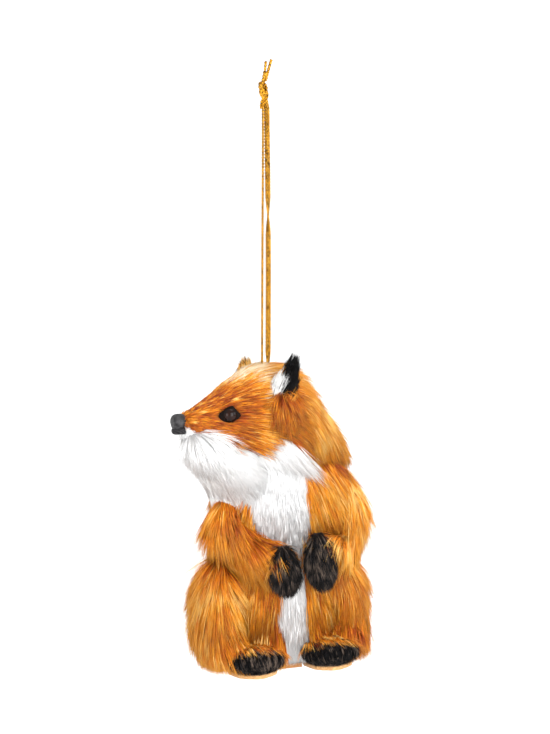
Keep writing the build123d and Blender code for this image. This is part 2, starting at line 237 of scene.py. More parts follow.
# Gold cord. A tubular braid of foil-wrapped yarns, pressed flat: one length goes down from
# the knot, under the wire in the head and up again. The left strand is seen on its edge and
# the right one on its face, with a half twist in it. Millimetres, from here on.
mm = 0.001
tiny = 0.02
braid_wide, braid_thick, braid_step = 1.5, 0.6, 0.2
yarn_count, yarn_wide, yarn_thick, yarn_corners = 12, 0.26, 0.16, 5
yarn_pitch, yarn_rides = 5.2, 0.45
core_wide_share, core_thick_share = 0.74, 0.5
strand_points = {
    "left": [(-0.85, 0, -73.5), (-0.83, 0, -66), (-0.76, -0.15, -36), (-0.57, 0, -9), (-0.55, 0, 0)],
    "right": [(0.85, 0, -73.5), (0.9, 0, -66), (1.0, 0.1, -36), (0.65, 0, -9), (0.55, 0, 0)],
}
# Turn of the braid's face from the bar up to the knot, in degrees: heights, then turns
strand_turns = {
    "left": ((-73.5, -68, -40, -10, 0), (90, 78, 72, 80, 90)),
    "right": ((-73.5, -68, -36, -24, -6, 0), (90, -8, -14, -190, -192, -200)),
}
strand_swell = (1.12, 1.1)
# Where each strand ends inside the knot, and the points that lead there
into_knot = {"left": (-0.9, 0, 1.5), "right": (0.05, 0.1, 2.75)}
lead_count = 8
knot_points = [
    (-0.5, 0, -0.4), (-0.55, 0, 0.7), (-0.3, -0.75, 2.1), (0.75, -0.5, 3.6), (0.7, 0.6, 5.1),
    (-0.55, 0.75, 5.9), (-0.95, -0.25, 4.6), (-0.2, -0.9, 3.0), (0.85, 0.1, 2.0),
    (0.4, 0.85, 3.4), (-0.4, 0.3, 5.2), (0.1, -0.2, 6.9), (0.35, 0, 8.2),
]
knot_braid, knot_turned = (1.05, 0.6), (0.4, 5.5)
knot_flip, knot_flip_phase = (0, 0, 7.8), 0.3
knot_size, knot_shift = (1.15, 1.1, 1.22), (-0.45, 0, 0.5)
tail_points = {
    "left": [(-0.5, 0.1, 7.8), (-0.2, 0.1, 9.2), (0.1, 0.15, 11.2), (0.3, 0.2, 13.4)],
    "right": [(0.15, -0.1, 7.8), (0.5, -0.1, 9.2), (1.1, -0.1, 11.4), (1.8, -0.2, 13.9)],
}
tail_turns = {"left": (1.2, 0.4), "right": (0, -0.5)}
tail_wide_share = 0.62


def put_mesh(name, places, faces, finishes, body, slot, node):
    """A piece from places in millimetres and triangles, both whole arrays, that rides on a
    body and replaces a CAD node."""
    mesh = bpy.data.meshes.new(name)
    faces = np.asarray(faces, np.int32)
    mesh.vertices.add(len(places))
    mesh.vertices.foreach_set("co", (np.asarray(places) * mm).astype(np.float32).ravel())
    mesh.loops.add(faces.size)
    mesh.loops.foreach_set("vertex_index", faces.ravel())
    mesh.polygons.add(len(faces))
    mesh.polygons.foreach_set("loop_start", np.arange(0, faces.size, 3, dtype=np.int32))
    mesh.polygons.foreach_set("use_smooth", np.ones(len(faces), bool))
    mesh.update(calc_edges=True)
    for material in finishes:
        mesh.materials.append(material)
    piece = bpy.data.objects.new(name, mesh)
    bpy.context.scene.collection.objects.link(piece)
    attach(piece, body)
    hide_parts(node)
    return piece


def carry_over(name, finish):
    """A CAD node that keeps its own shape and takes a finish."""
    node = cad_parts[name]
    node.data.materials.clear()
    node.data.materials.append(finish)


def unit(vectors):
    """Vectors of any array, each made one long."""
    return vectors / np.maximum(np.linalg.norm(vectors, axis=-1, keepdims=True), 1e-12)


def dot(first, second):
    """The dot product of vectors down the last axis, kept as a column."""
    return (first * second).sum(-1, keepdims=True)


def grid_faces(rows, turns, start=0):
    """Triangles of a grid of rows that each close on themselves after so many turns, with
    fans that close the first and the last row."""
    row, turn = np.meshgrid(np.arange(rows - 1), np.arange(turns), indexing="ij")
    after = (turn + 1) % turns
    a, b = row * turns + turn, row * turns + after
    c, d = a + turns, b + turns
    sides = np.stack([a, b, d, a, d, c], -1).reshape(-1, 3)
    fan = np.arange(1, turns - 1)
    first = np.stack([fan * 0, fan + 1, fan], -1)
    last = np.stack([fan * 0, fan, fan + 1], -1) + (rows - 1) * turns
    return start + np.concatenate([first, sides, last])


def outward(places, faces):
    """Triangles of a closed form, turned round if they look in at its middle."""
    a, b, c = (places[faces[:, i]] for i in range(3))
    inward = (np.cross(b - a, c - a) * (a - places.mean(0))).sum() < 0
    return faces[:, ::-1] if inward else faces


def measured(line):
    """How far along a line each of its points is."""
    return np.append(0, np.linalg.norm(np.diff(line, axis=0), axis=1).cumsum())


def route_line(points, step):
    """Even points in millimetres along the smooth spline that has these control points."""
    curve = bpy.data.curves.new("route", "CURVE")
    curve.dimensions = "3D"
    spline = curve.splines.new("NURBS")
    spline.points.add(len(points) - 1)
    for point, place in zip(spline.points, points):
        point.co = (*[value * mm for value in place], 1)
    spline.order_u = 3
    spline.use_endpoint_u = True
    spline.resolution_u = 24
    holder = bpy.data.objects.new("route", curve)
    mesh = bpy.data.meshes.new_from_object(holder)
    line = np.empty(len(mesh.vertices) * 3)
    mesh.vertices.foreach_get("co", line)
    line = line.reshape(-1, 3) / mm
    bpy.data.meshes.remove(mesh)
    bpy.data.objects.remove(holder)
    bpy.data.curves.remove(curve)
    far = measured(line)
    places = np.linspace(0, far[-1], max(int(far[-1] / step), 8))
    return np.stack([np.interp(places, far, line[:, i]) for i in range(3)], 1)


def flat_ways(line, turns):
    """Across and out of a flat cord's face, which is turned so far about the cord."""
    ahead = unit(np.gradient(line, axis=0))
    level = np.stack([np.cos(turns), np.sin(turns), np.zeros(len(turns))], 1)
    side = unit(level - ahead * dot(level, ahead))
    return side, np.cross(ahead, side)


def sleeve(line, across, out, wide, thick, corner):
    """Places of an oval tube round a line: half its sizes by cosine and sine of each corner,
    and ends of almost no size."""
    size = np.ones((len(line), 1, 1))
    size[0] = size[-1] = tiny
    return line[:, None] + size * (
        across[:, None] * (wide / 2 * np.cos(corner))[None, :, None]
        + out[:, None] * (thick / 2 * np.sin(corner))[None, :, None]
    )


def braid(line, turns, wide, thick, phase=0.0):
    """Places and triangles of a flat tubular braid. Each yarn goes round an oval of the
    braid's width and thickness, half of them each way, and rides over one and under the
    next; its own section is a small flat oval."""
    side, face = flat_ways(line, turns)
    far = measured(line)
    corner = -np.arange(yarn_corners) * 2 * np.pi / yarn_corners
    places, faces = [], []
    for yarn in range(yarn_count):
        way = 1 if yarn % 2 else -1
        angle = phase + way * far * 2 * np.pi / yarn_pitch + yarn * 2 * np.pi / yarn_count
        over = yarn_rides * yarn_thick * np.cos(angle * yarn_count / 2 + np.pi * (way > 0))
        half_wide = wide / 2 - yarn_thick + over
        half_thick = thick / 2 - yarn_thick / 2 + over
        centre = line + side * (half_wide * np.cos(angle))[:, None]
        centre = centre + face * (half_thick * np.sin(angle))[:, None]
        out = side * (np.cos(angle) / wide)[:, None] + face * (np.sin(angle) / thick)[:, None]
        along = unit(np.gradient(centre, axis=0))
        flat = unit(np.cross(along, unit(out)))
        rim = sleeve(centre, flat, np.cross(flat, along), yarn_wide, yarn_thick, corner)
        faces.append(grid_faces(len(line), yarn_corners, yarn * len(line) * yarn_corners))
        places.append(rim.reshape(-1, 3))
    return np.concatenate(places), np.concatenate(faces)


def tube(line, turns, wide, thick, sides=12):
    """Places and triangles of an oval tube along a line, closed by its own small ends."""
    corner = np.arange(sides) * 2 * np.pi / sides
    rim = sleeve(line, *flat_ways(line, turns), wide, thick, corner)
    return rim.reshape(-1, 3), grid_faces(len(line), sides)


def braided(name, line, turns, wide, thick, body, node):
    """A braid with the dark core that shows as specks between its plaits, as one piece."""
    yarns, yarn_faces = braid(line, turns, wide, thick)
    core, core_faces = tube(line, turns, wide * core_wide_share, thick * core_thick_share)
    places = np.concatenate([yarns, core])
    faces = np.concatenate([yarn_faces, core_faces + len(yarns)])
    piece = put_mesh(name, places, faces, [gold_foil, core_thread], body, "gold_braid", node)
    which = np.repeat(np.array([0, 1], np.int32), (len(yarn_faces), len(core_faces)))
    piece.data.polygons.foreach_set("material_index", which)
    return piece


gold_foil, sockets, glint, gold = grained(
    "gold foil", ("Noise", 2600, 2), (104, 60, 6), (226, 166, 48), (0.34, 0.66), Metallic=1.0
)
shine = glint.texture("Noise", 500, 1).clamped(0.4, 0.9) * 0.25
speck = glint.texture("Noise", 1500, 1).clamped(0.6, 0.66) * 0.85
gold = speck.blend(shine.blend(gold, tint(250, 206, 110)), tint(44, 24, 4))
glint.fill(sockets["Base Color"], gold)
glint.fill(sockets["Roughness"], 0.22 + glint.clamped(0.3, 0.7) * 0.2)
core_thread = grained("core thread", ("Noise", 1800, 3), (26, 14, 4), (84, 48, 10), Roughness=0.8)[0]

line = route_line(knot_points, braid_step)
knot_turns = np.linspace(*knot_turned, len(line))
first, first_faces = braid(line, knot_turns, *knot_braid)
second, second_faces = braid(knot_flip - line[::-1], knot_turns, *knot_braid, knot_flip_phase)
top_knot = put_mesh(
    "braid_knot",
    np.concatenate([first, second]) * knot_size + knot_shift,
    np.concatenate([first_faces, second_faces + len(first)]),
    [gold_foil], "loop_top", "gold_braid", "top_knot",
)

tail_pieces = {}
for side, points in tail_points.items():
    line = route_line(points, braid_step)
    turns = np.linspace(*tail_turns[side], len(line))
    tail_pieces[side] = braided(f"braid_tail_{side}", line, turns, braid_wide * tail_wide_share,
                                braid_thick, "loop_top", f"cord_tail_{side}")

for side, points in strand_points.items():
    line = route_line(points, braid_step)
    heights, degrees = strand_turns[side]
    turns = np.radians(np.interp(line[:, 2], heights, degrees))
    lead = np.linspace(line[-1], into_knot[side], lead_count + 1)[1:]
    piece = braided(
        f"braid_strand_{side}", np.vstack([line, lead]),
        np.append(turns, np.full(lead_count, turns[-1])),
        braid_wide * strand_swell[0], braid_thick * strand_swell[1], "cord", f"cord_strand_{side}",
    )
    [top_knot, tail_pieces[side]] if side == "left" else [tail_pieces[side]]

carry_over("cord_bight", gold_foil)

# Foam bodies, peg and staple. The fur is glued over two shapes of white foam; a turned peg
# joins them, and a bent wire in the crown holds the cord. None of it shows from outside.
foam = grained("white foam", ("Voronoi", 900), (222, 220, 212), (246, 245, 240), (0, 0.6),
               bump=(0.0001, 0.5), Roughness=0.9)[0]
carry_over("torso_core", foam)
carry_over("head_core", foam)
wood = grained("beech peg", ("Noise", 1, 3, (1500, 1500, 90)), (190, 146, 98), (222, 186, 140),
               Roughness=0.6)[0]
carry_over("neck_peg", wood)
wire, sockets, mark, _ = grained("drawn wire", ("Noise", 1, 2, (4000, 4000, 200)),
                                 (120, 118, 114), (190, 188, 184), (0, 1), Metallic=1.0)
mark.fill(sockets["Roughness"], 0.25 + mark * 0.2)
carry_over("hanger_staple", wire)

# Fur of the body. Long dyed fur lies down over the foam from the neck to the seat: orange
# on the flanks and back, with a white strip down the belly. Each hair is a slender closed
# blade, and the hairs lean together into pointed locks.
lean, yaw = np.radians(4.5), np.radians(78)
upright = np.array([-np.sin(lean), 0, np.cos(lean)])
to_left = np.array([np.cos(lean), 0, np.sin(lean)])
to_back = np.array([0, 1.0, 0])
straight_up = np.array([0, 0, 1.0])
bar = np.array([0, 0, -73.5])
body_half_wide, body_half_deep, body_tall = 23, 20, 58
sole_thick = 1.2
seat = np.array([7.3, 0, bar[2] - 23.1 - body_tall - sole_thick])
body_foot = seat + upright * sole_thick
torso_shares = [
    (0.0, -0.05, 0.05, 0.75, 0.76),
    (0.13, -0.06, 0.05, 0.93, 0.93),
    (0.3, -0.06, 0.06, 0.99, 1.0),
    (0.47, 0.0, 0.05, 0.95, 0.96),
    (0.64, 0.08, 0.03, 0.98, 0.9),
    (0.77, 0.1, 0.03, 0.93, 0.86),
    (0.88, 0.09, 0.03, 0.8, 0.75),
    (1.0, 0.07, 0.03, 0.57, 0.58),
]
torso_skin = ((0.0, 0.35, 0.6), (1.4, 1.8, 2.6))
belly_skin = ((0.0, 0.35, 0.6), (2.2, 2.4, 2.6))
hem_height = 0.3
# Which way each side lies along to_left
signs = {"right": -1, "left": 1}


def on_seat(side, back, rise):
    """A place on the body from its shares of half width, half depth and height."""
    return (
        seat
        + to_left * side * body_half_wide
        + to_back * back * body_half_deep
        + upright * rise * body_tall
    )


def in_body(places):
    """Side, back and height of places above the seat."""
    gap = places - seat
    return gap @ to_left, gap @ to_back, gap @ upright


def stuffed(root, axes, length, half_wide, half_tall, shares, skin=0.0, mirror=1, close=(0, 0)):
    """Rings of a form that swells along its third axis, as centre, half width and half
    height vectors. Each row is a place, a shift to the side and up, and two half sizes.
    close adds a last ring of almost no size beyond the start or the end. skin is how much
    smaller than the CAD form it is: one size, or places and the sizes there."""
    wide, tall, ahead = axes
    rows = np.array(shares, float)
    if close[0]:
        rows = np.vstack([[rows[0, 0] - close[0], *rows[0, 1:3], tiny, tiny], rows])
    if close[1]:
        rows = np.vstack([rows, [rows[-1, 0] + close[1], *rows[-1, 1:3], tiny, tiny]])
    if isinstance(skin, tuple):
        skin = np.interp(rows[:, 0:1], *skin)
    centre = (
        root
        + rows[:, 0:1] * length * ahead
        + rows[:, 1:2] * half_wide * mirror * wide
        + rows[:, 2:3] * half_tall * tall
    )
    return np.stack(
        [
            centre,
            rows[:, 3:4] * (half_wide - skin) * wide,
            rows[:, 4:5] * (half_tall - skin) * tall,
        ],
        1,
    )


def limb(shares, radius, skin):
    """Round rings square to a bent route. Each row is the ring's shares of the body's half
    width, half depth and height, and its share of the radius, which is then less a skin."""
    places = np.array([on_seat(*row[:3]) for row in shares])
    before, after = np.vstack([places[:1], places[:-1]]), np.vstack([places[1:], places[-1:]])
    ahead = unit(after - before)
    wide = unit(np.cross(upright, ahead))
    size = np.maximum(np.array([row[3] * radius for row in shares]) - skin, 0.05)[:, None]
    return np.stack([places, wide * size, np.cross(ahead, wide) * size], 1)


def ring_at(rings, s):
    """Centre and half axes at any step s: a cubic through the rings, whose slope at each
    ring is half the way from the ring before it to the ring after it."""
    step = np.clip(s.astype(int), 0, len(rings) - 2)
    f = (s - step)[..., None, None]
    slope = np.gradient(rings, axis=0)
    return (
        (2 * f**3 - 3 * f**2 + 1) * rings[step]
        + (f**3 - 2 * f**2 + f) * slope[step]
        + (3 * f**2 - 2 * f**3) * rings[step + 1]
        + (f**3 - f**2) * slope[step + 1]
    )


def on_form(rings, s, angle):
    """A place on a form: the ring's centre plus its half axes by cosine and sine."""
    ring = ring_at(rings, s)
    return (
        ring[..., 0, :]
        + ring[..., 1, :] * np.cos(angle)[..., None]
        + ring[..., 2, :] * np.sin(angle)[..., None]
    )


def form_grid(rings, rows, turns):
    """Steps and angles of a grid over a form, and its places."""
    s, angle = np.meshgrid(
        np.linspace(0, len(rings) - 1, rows), np.arange(turns) * 2 * np.pi / turns, indexing="ij"
    )
    return s, angle, on_form(rings, s, angle)


def buried(rings, places, margin=1.2):
    """Whether places lie deeper than a margin inside a form, by the ring whose plane each is
    nearest to."""
    ring = ring_at(rings, np.linspace(0, len(rings) - 1, 48))
    ahead = unit(np.cross(ring[:, 1], ring[:, 2]))
    gap = places[:, None] - ring[None, :, 0]
    off = np.abs((gap * ahead).sum(-1))
    near = off.argmin(1)
    pick = np.arange(len(places))
    gap, off, ring = gap[pick, near], off[pick, near], ring[near]
    wide = np.linalg.norm(ring[:, 1], axis=1)
    tall = np.linalg.norm(ring[:, 2], axis=1)
    u = (gap * ring[:, 1]).sum(1) / np.maximum(wide * (wide - margin), 1e-3)
    v = (gap * ring[:, 2]).sum(1) / np.maximum(tall * (tall - margin), 1e-3)
    return (u**2 + v**2 < 1) & (off < 1.2) & (np.minimum(wide, tall) > margin + 0.3)


def sow(rings, density, rng):
    """Roots spread over a form by its area: places, outward normals and the form's own
    direction there. density is hairs to the square millimetre."""
    rows, turns = 64, 96
    s, angle, grid = form_grid(rings, rows + 1, turns)
    closed = np.concatenate([grid, grid[:, :1]], 1)
    edge = closed[1:, :-1] - closed[:-1, :-1]
    turn = closed[:-1, 1:] - closed[:-1, :-1]
    area = np.linalg.norm(np.cross(edge, turn), axis=-1).ravel()
    count = int(area.sum() * density)
    cell = rng.choice(area.size, count, p=area / area.sum())
    s = (cell // turns + rng.random(count)) * (len(rings) - 1) / rows
    angle = (cell % turns + rng.random(count)) * 2 * np.pi / turns
    nudge = 0.01
    low, high = np.maximum(s - nudge, 0), np.minimum(s + nudge, len(rings) - 1)
    place = on_form(rings, s, angle)
    along = on_form(rings, high, angle) - on_form(rings, low, angle)
    round_it = on_form(rings, s, angle + nudge) - on_form(rings, s, angle - nudge)
    normal = unit(np.cross(round_it, along))
    centre = ring_at(rings, s)[:, 0]
    normal = normal * np.sign(dot(normal, place - centre))
    ahead = unit(ring_at(rings, high)[:, 0] - ring_at(rings, low)[:, 0])
    return {"place": place, "normal": normal, "ahead": ahead, "step": s}


def ripple(places, size, rng):
    """A slow random field from about -1 to 1: six sine waves that cross at random."""
    ways = unit(rng.normal(size=(6, 3))) * rng.uniform(0.6, 1.5, (6, 1)) * 2 * np.pi / size
    return np.sin(places @ ways.T + rng.uniform(0, 2 * np.pi, 6)).mean(1) * 1.7


def locks_of(places, size, rng):
    """For each place, the index of one hair that stands for its lock. Locks are the cells
    of a cubic grid of that size, turned and bent by slow waves so that no line shows."""
    turn = np.linalg.qr(rng.normal(size=(3, 3)))[0]
    bent = places @ turn
    bent = bent + np.stack([ripple(places, size * 3.5, rng) for _ in range(3)], 1) * size * 0.5
    cell = np.floor(bent / size).astype(int)
    _, first, which = np.unique(cell, axis=0, return_index=True, return_inverse=True)
    return first[which.ravel()]


# The parts of a hair's length before and after its knee, and the share of its lift that the
# second part keeps. In a lock, its knee moves by a share of what its tip does, and no hair
# stands up more than steepest, in radians
root_part, tip_part = 0.42, 0.58
tip_lift, knee_follows, steepest = 0.35, 0.35, 1.1


def comb(roots, lay, length, lift, rng, droop=0.2, lock=1.5, pull=0.6, stray=0.03, hang=0.0,
         waver=0.09):
    """The three points that each hair bends by: root, knee and tip. A hair leaves the skin
    at its lift, leans over towards the lay and droops, and its tip goes part of the way to
    the tip of its lock's guide hair. A few stray hairs keep apart. hang is how far a hair
    may leave the skin to follow a lay that points away from it."""
    place, normal = roots["place"], roots["normal"]
    count = len(place)
    lay = unit(lay)
    outwards = dot(lay, normal)
    hang = np.broadcast_to(np.asarray(hang, float), count)[:, None]
    flat = unit(lay - normal * outwards * np.where(outwards > 0, 1 - hang, 1))
    turn = rng.normal(0, waver, (count, 1)) + 1.2 * waver * ripple(place, 12, rng)[:, None]
    flat = flat * np.cos(turn) + np.cross(normal, flat) * np.sin(turn)
    loose = rng.random((count, 1)) < stray
    rise = np.broadcast_to(np.asarray(lift, float), count)[:, None]
    rise = rise * rng.lognormal(0, 0.25, (count, 1)) * np.where(loose, 1.8, 1)
    rise = np.minimum(rise, steepest)
    reach = np.broadcast_to(np.asarray(length, float), count)[:, None]
    reach = reach * rng.uniform(0.72, 1.12, (count, 1))
    first = flat * np.cos(rise) + normal * np.sin(rise)
    second = flat * np.cos(rise * tip_lift) + normal * np.sin(rise * tip_lift)
    second = unit(second - straight_up * droop)
    knee = place + first * reach * root_part
    tip = knee + second * reach * tip_part
    guide = locks_of(place, lock, rng)
    share = pull * rng.uniform(0.35, 1.25, (count, 1)) * ~loose
    share = np.minimum(share, 0.95)
    knee = knee + (knee[guide] - knee) * share * knee_follows
    tip = tip + (tip[guide] - tip) * share
    return np.stack([place, knee, tip], 1), guide


# Where the rings of a blade are on its way from root to tip and how wide each is, by how many
# it has. The ridge is a share of half the width, and a blade rolls about its hair by chance
blade_rings = {2: ((0, 0.52), (0.85, 0.8)), 3: ((0, 0.36, 0.72), (0.8, 1.0, 0.66))}
blade_ridge, blade_roll = 0.8, 0.45


def blades(bends, normals, width, tone, rng, rings_up):
    """Closed blades along hairs that bend by three points each. The section is a low
    triangle with its ridge outwards, which narrows to the tip. Returns places, triangles
    and a map: across is the hair's tone, up is the way from root to tip."""
    count = len(bends)
    t, swell = (np.array(row) for row in blade_rings[rings_up])
    t3 = t[None, :, None]
    root, knee, tip = (bends[:, i][:, None] for i in range(3))
    centre = (1 - t3) ** 2 * root + 2 * t3 * (1 - t3) * knee + t3**2 * tip
    ahead = unit((1 - t3) * (knee - root) + t3 * (tip - knee))
    normal = np.broadcast_to(normals[:, None], ahead.shape)
    across = unit(np.cross(ahead, normal))
    out = np.cross(across, ahead)
    roll = rng.normal(0, blade_roll, (count, 1, 1))
    across, out = (
        across * np.cos(roll) + out * np.sin(roll),
        out * np.cos(roll) - across * np.sin(roll),
    )
    half = (np.broadcast_to(width, count)[:, None] * swell * 0.5)[:, :, None]
    ridge = centre + out * half * blade_ridge
    corners = np.stack([centre + across * half, centre - across * half, ridge], 2)
    per = 3 * rings_up + 1
    places = np.concatenate([corners.reshape(count, -1, 3), bends[:, 2][:, None]], 1)
    template = [(0, 2, 1)]
    for ring in range(rings_up - 1):
        for a, b in ((0, 1), (1, 2), (2, 0)):
            low, high = 3 * ring, 3 * ring + 3
            template += [(low + a, low + b, high + b), (low + a, high + b, high + a)]
    last = 3 * (rings_up - 1)
    template += [(last + a, last + b, per - 1) for a, b in ((0, 1), (1, 2), (2, 0))]
    template = np.array(template)
    faces = template[None] + (np.arange(count) * per)[:, None, None]
    half_tone = 0.006
    tone_at = np.tile([half_tone, -half_tone, 0], rings_up).tolist() + [0]
    up_at = np.repeat(0.02 + 0.95 * t, 3)
    up_at[2] += 0.03
    map_at = np.empty((count, per, 2))
    map_at[..., 0] = np.clip(tone, 0.01, 0.99)[:, None] + np.array(tone_at)
    map_at[..., 1] = np.append(up_at, 0.98)
    return places.reshape(-1, 3), faces.reshape(-1, 3), map_at[:, template].reshape(-1, 2)


def skin_patch(rings, belongs, rows=56, turns=88):
    """The hide under the hairs, as the part of a form's grid that belongs to a piece. Each of
    its triangles has the same place on the map, down at the hairs' roots, so it takes the painted shade
    there."""
    places = form_grid(rings, rows, turns)[2].reshape(-1, 3)
    faces = outward(places, grid_faces(rows, turns))
    faces = faces[belongs(places[faces].mean(1))]
    used, faces = np.unique(faces, return_inverse=True)
    faces = faces.reshape(-1, 3)
    # Near the bottom of the map, where the dye paints shade on the hide.
    chart = np.tile([(0.35, 0.08), (0.358, 0.08), (0.358, 0.11)], (len(faces), 1))
    return places[used], faces, chart


# How ragged the cut is, in millimetres, and the least share of a hair that stays
hem_ragged, shortest_share = 0.9, 0.12


def trimmed(bends, hem, rng):
    """Hairs cut level a little above the seat: those that would hang lower are shortened
    towards their roots. Returns the hairs, and which of them are left at all."""
    height = (bends - seat) @ upright
    floor = hem + rng.random(len(bends)) * hem_ragged
    lowest = height.min(1)
    share = (height[:, 0] - floor) / np.maximum(height[:, 0] - lowest, 1e-6)
    share = np.where(lowest < floor, share, 1)
    root = bends[:, :1]
    return root + (bends - root) * np.clip(share, 0, 1)[:, None, None], share > shortest_share


def everywhere(places):
    """All of a form."""
    return np.ones(len(places), bool)


# How much the tone of the hair varies: in slow waves of that size, from hair to hair and
# from lock to lock
wave_size, wave_tones, hair_tones, lock_tones = 15, 0.16, 0.13, 0.17


def fur(name, node, slot, rings, lay, *, density, length, lift, width, tone, seed,
        belongs=everywhere, hide_belongs=None, hidden=(), clear=(), rings_up=2, hem=None,
        spread=1, edge=0.4, hang=0.0, palest=0.87, **combing):
    """A piece of fur on a form: its hide and its hairs, in one mesh that replaces its CAD
    node. length, lift, tone, hang and palest are functions of the roots or plain numbers;
    edge is how ragged the piece's border is; hidden is a list of forms whose insides grow
    nothing; clear lists ovals that hairs keep out of; hem is the height above the seat at
    which the hair is cut."""
    rng = np.random.default_rng(seed)
    roots = sow(rings, density, rng)
    keep = belongs(roots["place"] + rng.normal(0, edge, roots["place"].shape))
    for form in hidden:
        keep &= ~buried(form, roots["place"])
    roots = {key: value[keep] for key, value in roots.items()}
    count = len(roots["place"])

    def at_roots(given):
        return given(roots) if callable(given) else np.full(count, float(given))

    bends, guide = comb(roots, lay(roots), at_roots(length), at_roots(lift), rng,
                        hang=at_roots(hang), **combing)
    hue = wave_tones * ripple(roots["place"], wave_size, rng) + rng.normal(0, hair_tones, count)
    hue = at_roots(tone) + spread * (hue + rng.normal(0, lock_tones, count)[guide])
    hue = np.minimum(hue, at_roots(palest))
    good = np.ones(count, bool)
    if hem is not None:
        bends, good = trimmed(bends, hem, rng)
    for centre, axes in clear:
        for share in (0.3, 0.6, 0.85, 1.0):
            at = (1 - share) ** 2 * bends[:, 0] + 2 * share * (1 - share) * bends[:, 1]
            at = at + share**2 * bends[:, 2]
            good &= (((at - centre) @ axes.T) ** 2).sum(1) > 1
    bends, hue = bends[good], hue[good]
    thick = width * rng.uniform(0.7, 1.25, len(bends))
    places, faces, chart = blades(bends, roots["normal"][good], thick, hue, rng, rings_up)
    hide, hide_faces, hide_chart = skin_patch(rings, hide_belongs or belongs)
    piece = put_mesh(name, np.concatenate([hide, places]),
                     np.concatenate([hide_faces, faces + len(hide)]), [dyes[slot]], "fox", slot, node)
    layer = piece.data.uv_layers.new(name="OFBake")
    layer.uv.foreach_set("vector", np.concatenate([hide_chart, chart]).astype(np.float32).ravel())


def fur_finish(name, stops, root_shade, tip, tip_share, rough, specular):
    """A fur's dye. Across its map the tone goes from dark to pale hairs; up the map each
    hair has painted shade at its root, as dark as root_shade makes it, and is paler at its tip."""
    material, start, sockets = new_finish(name, Specular_IOR_Level=specular)
    chart = start.add("ShaderNodeUVMap", {"uv_map": "OFBake"})
    across = start.add("ShaderNodeSeparateXYZ", None, {"Vector": chart}, output="X")
    height = start.add("ShaderNodeSeparateXYZ", None, {"Vector": chart}, output="Y")
    hue = start.add("ShaderNodeValToRGB", {"stops": stops}, {"Fac": across})
    # Painted shade: each hair darkens towards its root, where the hairs above would shade it.
    depth = (1 - height.clamped(0.0, 0.5)) * root_shade
    root_shaded = depth.blend(hue, (0.02, 0.01, 0.006, 1))
    pale = (height.clamped(0.6, 1.0) * tip_share).blend(root_shaded, tint(*tip))
    start.fill(sockets["Base Color"], pale)
    start.fill(sockets["Roughness"], rough + across * 0.12)
    return material


dyes = {
    "orange_fur": fur_finish(
        "orange fur",
        [(0.0, (132, 48, 4)), (0.22, (178, 80, 10)), (0.48, (218, 124, 16)),
         (0.72, (242, 162, 34)), (0.88, (252, 206, 120)), (1.0, (252, 238, 216))],
        root_shade=0.5, tip=(255, 198, 88), tip_share=0.4, rough=0.4, specular=0.3),
    "white_fur": fur_finish(
        "white fur",
        [(0.0, (128, 62, 34)), (0.08, (226, 204, 186)), (0.16, (240, 238, 235)),
         (0.7, (250, 250, 250)), (1.0, (253, 253, 253))],
        root_shade=0.03, tip=(252, 252, 252), tip_share=0.5, rough=0.42, specular=0.4),
    # The black fur's palest tones and its tips are grey: painted sheen on black hair.
    "black_fur": fur_finish(
        "black fur",
        [(0.0, (2, 2, 3)), (0.6, (8, 7, 9)), (0.85, (34, 32, 34)), (1.0, (120, 104, 92))],
        root_shade=0.4, tip=(50, 46, 42), tip_share=0.2, rough=0.45, specular=0.14),
}

body_axes = (to_left, to_back, upright)
torso, belly_form = (
    stuffed(body_foot, body_axes, body_tall, body_half_wide, body_half_deep, torso_shares, skin)
    for skin in (torso_skin, belly_skin)
)

# Arms, bent across the chest, and haunches: rings of each, so that no hair grows inside them
arm_radius = 7
arm_shares = {
    "right": [
        (-0.57, -0.12, 0.83, 1.0),
        (-0.73, -0.36, 0.73, 1.06),
        (-0.53, -0.64, 0.63, 0.94),
        (-0.33, -0.9, 0.585, 0.84),
        (-0.24, -1.0, 0.56, 0.6),
    ],
    "left": [
        (0.76, -0.12, 0.89, 0.84),
        (0.8, -0.36, 0.75, 0.94),
        (0.66, -0.64, 0.6, 0.84),
        (0.46, -0.92, 0.6, 0.74),
        (0.32, -1.0, 0.61, 0.6),
    ],
}
arm_skin = 3.3
arms = {side: limb(shares, arm_radius, arm_skin) for side, shares in arm_shares.items()}
haunch_tall, haunch_half_wide, haunch_half_deep = 30, 9, 15
haunch_places = {"right": (-0.843, -0.225), "left": (0.565, -0.225)}
haunch_shares = [
    (0.0, 0.0, 0.0, 0.72, 0.74),
    (0.22, 0.08, -0.03, 0.96, 0.94),
    (0.5, 0.12, 0.02, 1.0, 1.0),
    (0.8, 0.02, 0.06, 0.78, 0.82),
    (1.0, -0.12, 0.1, 0.36, 0.38),
]
haunch_crown = {"right": 0, "left": 0.34}
haunch_skin = 3.1
haunches = {}
for side, sign in signs.items():
    crown = haunch_crown[side]
    shares = [(*row[:3], *(part + crown * max(0, row[0] - 0.5) * 2 for part in row[3:]))
              for row in haunch_shares]
    haunches[side] = stuffed(
        on_seat(*haunch_places[side], 0) + upright * sole_thick, body_axes, haunch_tall,
        haunch_half_wide, haunch_half_deep, shares, haunch_skin, sign, (0, 0.06),
    )

belly_half, flank_back = 4.6, 6


def body_lay(roots):
    """Down the body, a little outwards from the belly's middle line."""
    side, back, rise = in_body(roots["place"])
    over = np.clip((13 - rise) / 6, 0, 1) * (back < -10) * (np.abs(side) > 6)
    return -upright + to_left * (0.01 * side)[:, None] - to_back * over[:, None]


def low_lift(roots):
    """Low in front, the hair stands out over the feet."""
    facing = np.clip(-roots["normal"] @ to_back, 0, 1)
    return 0.21 + 0.55 * np.clip((16 - in_body(roots["place"])[2]) / 7, 0, 1) * facing


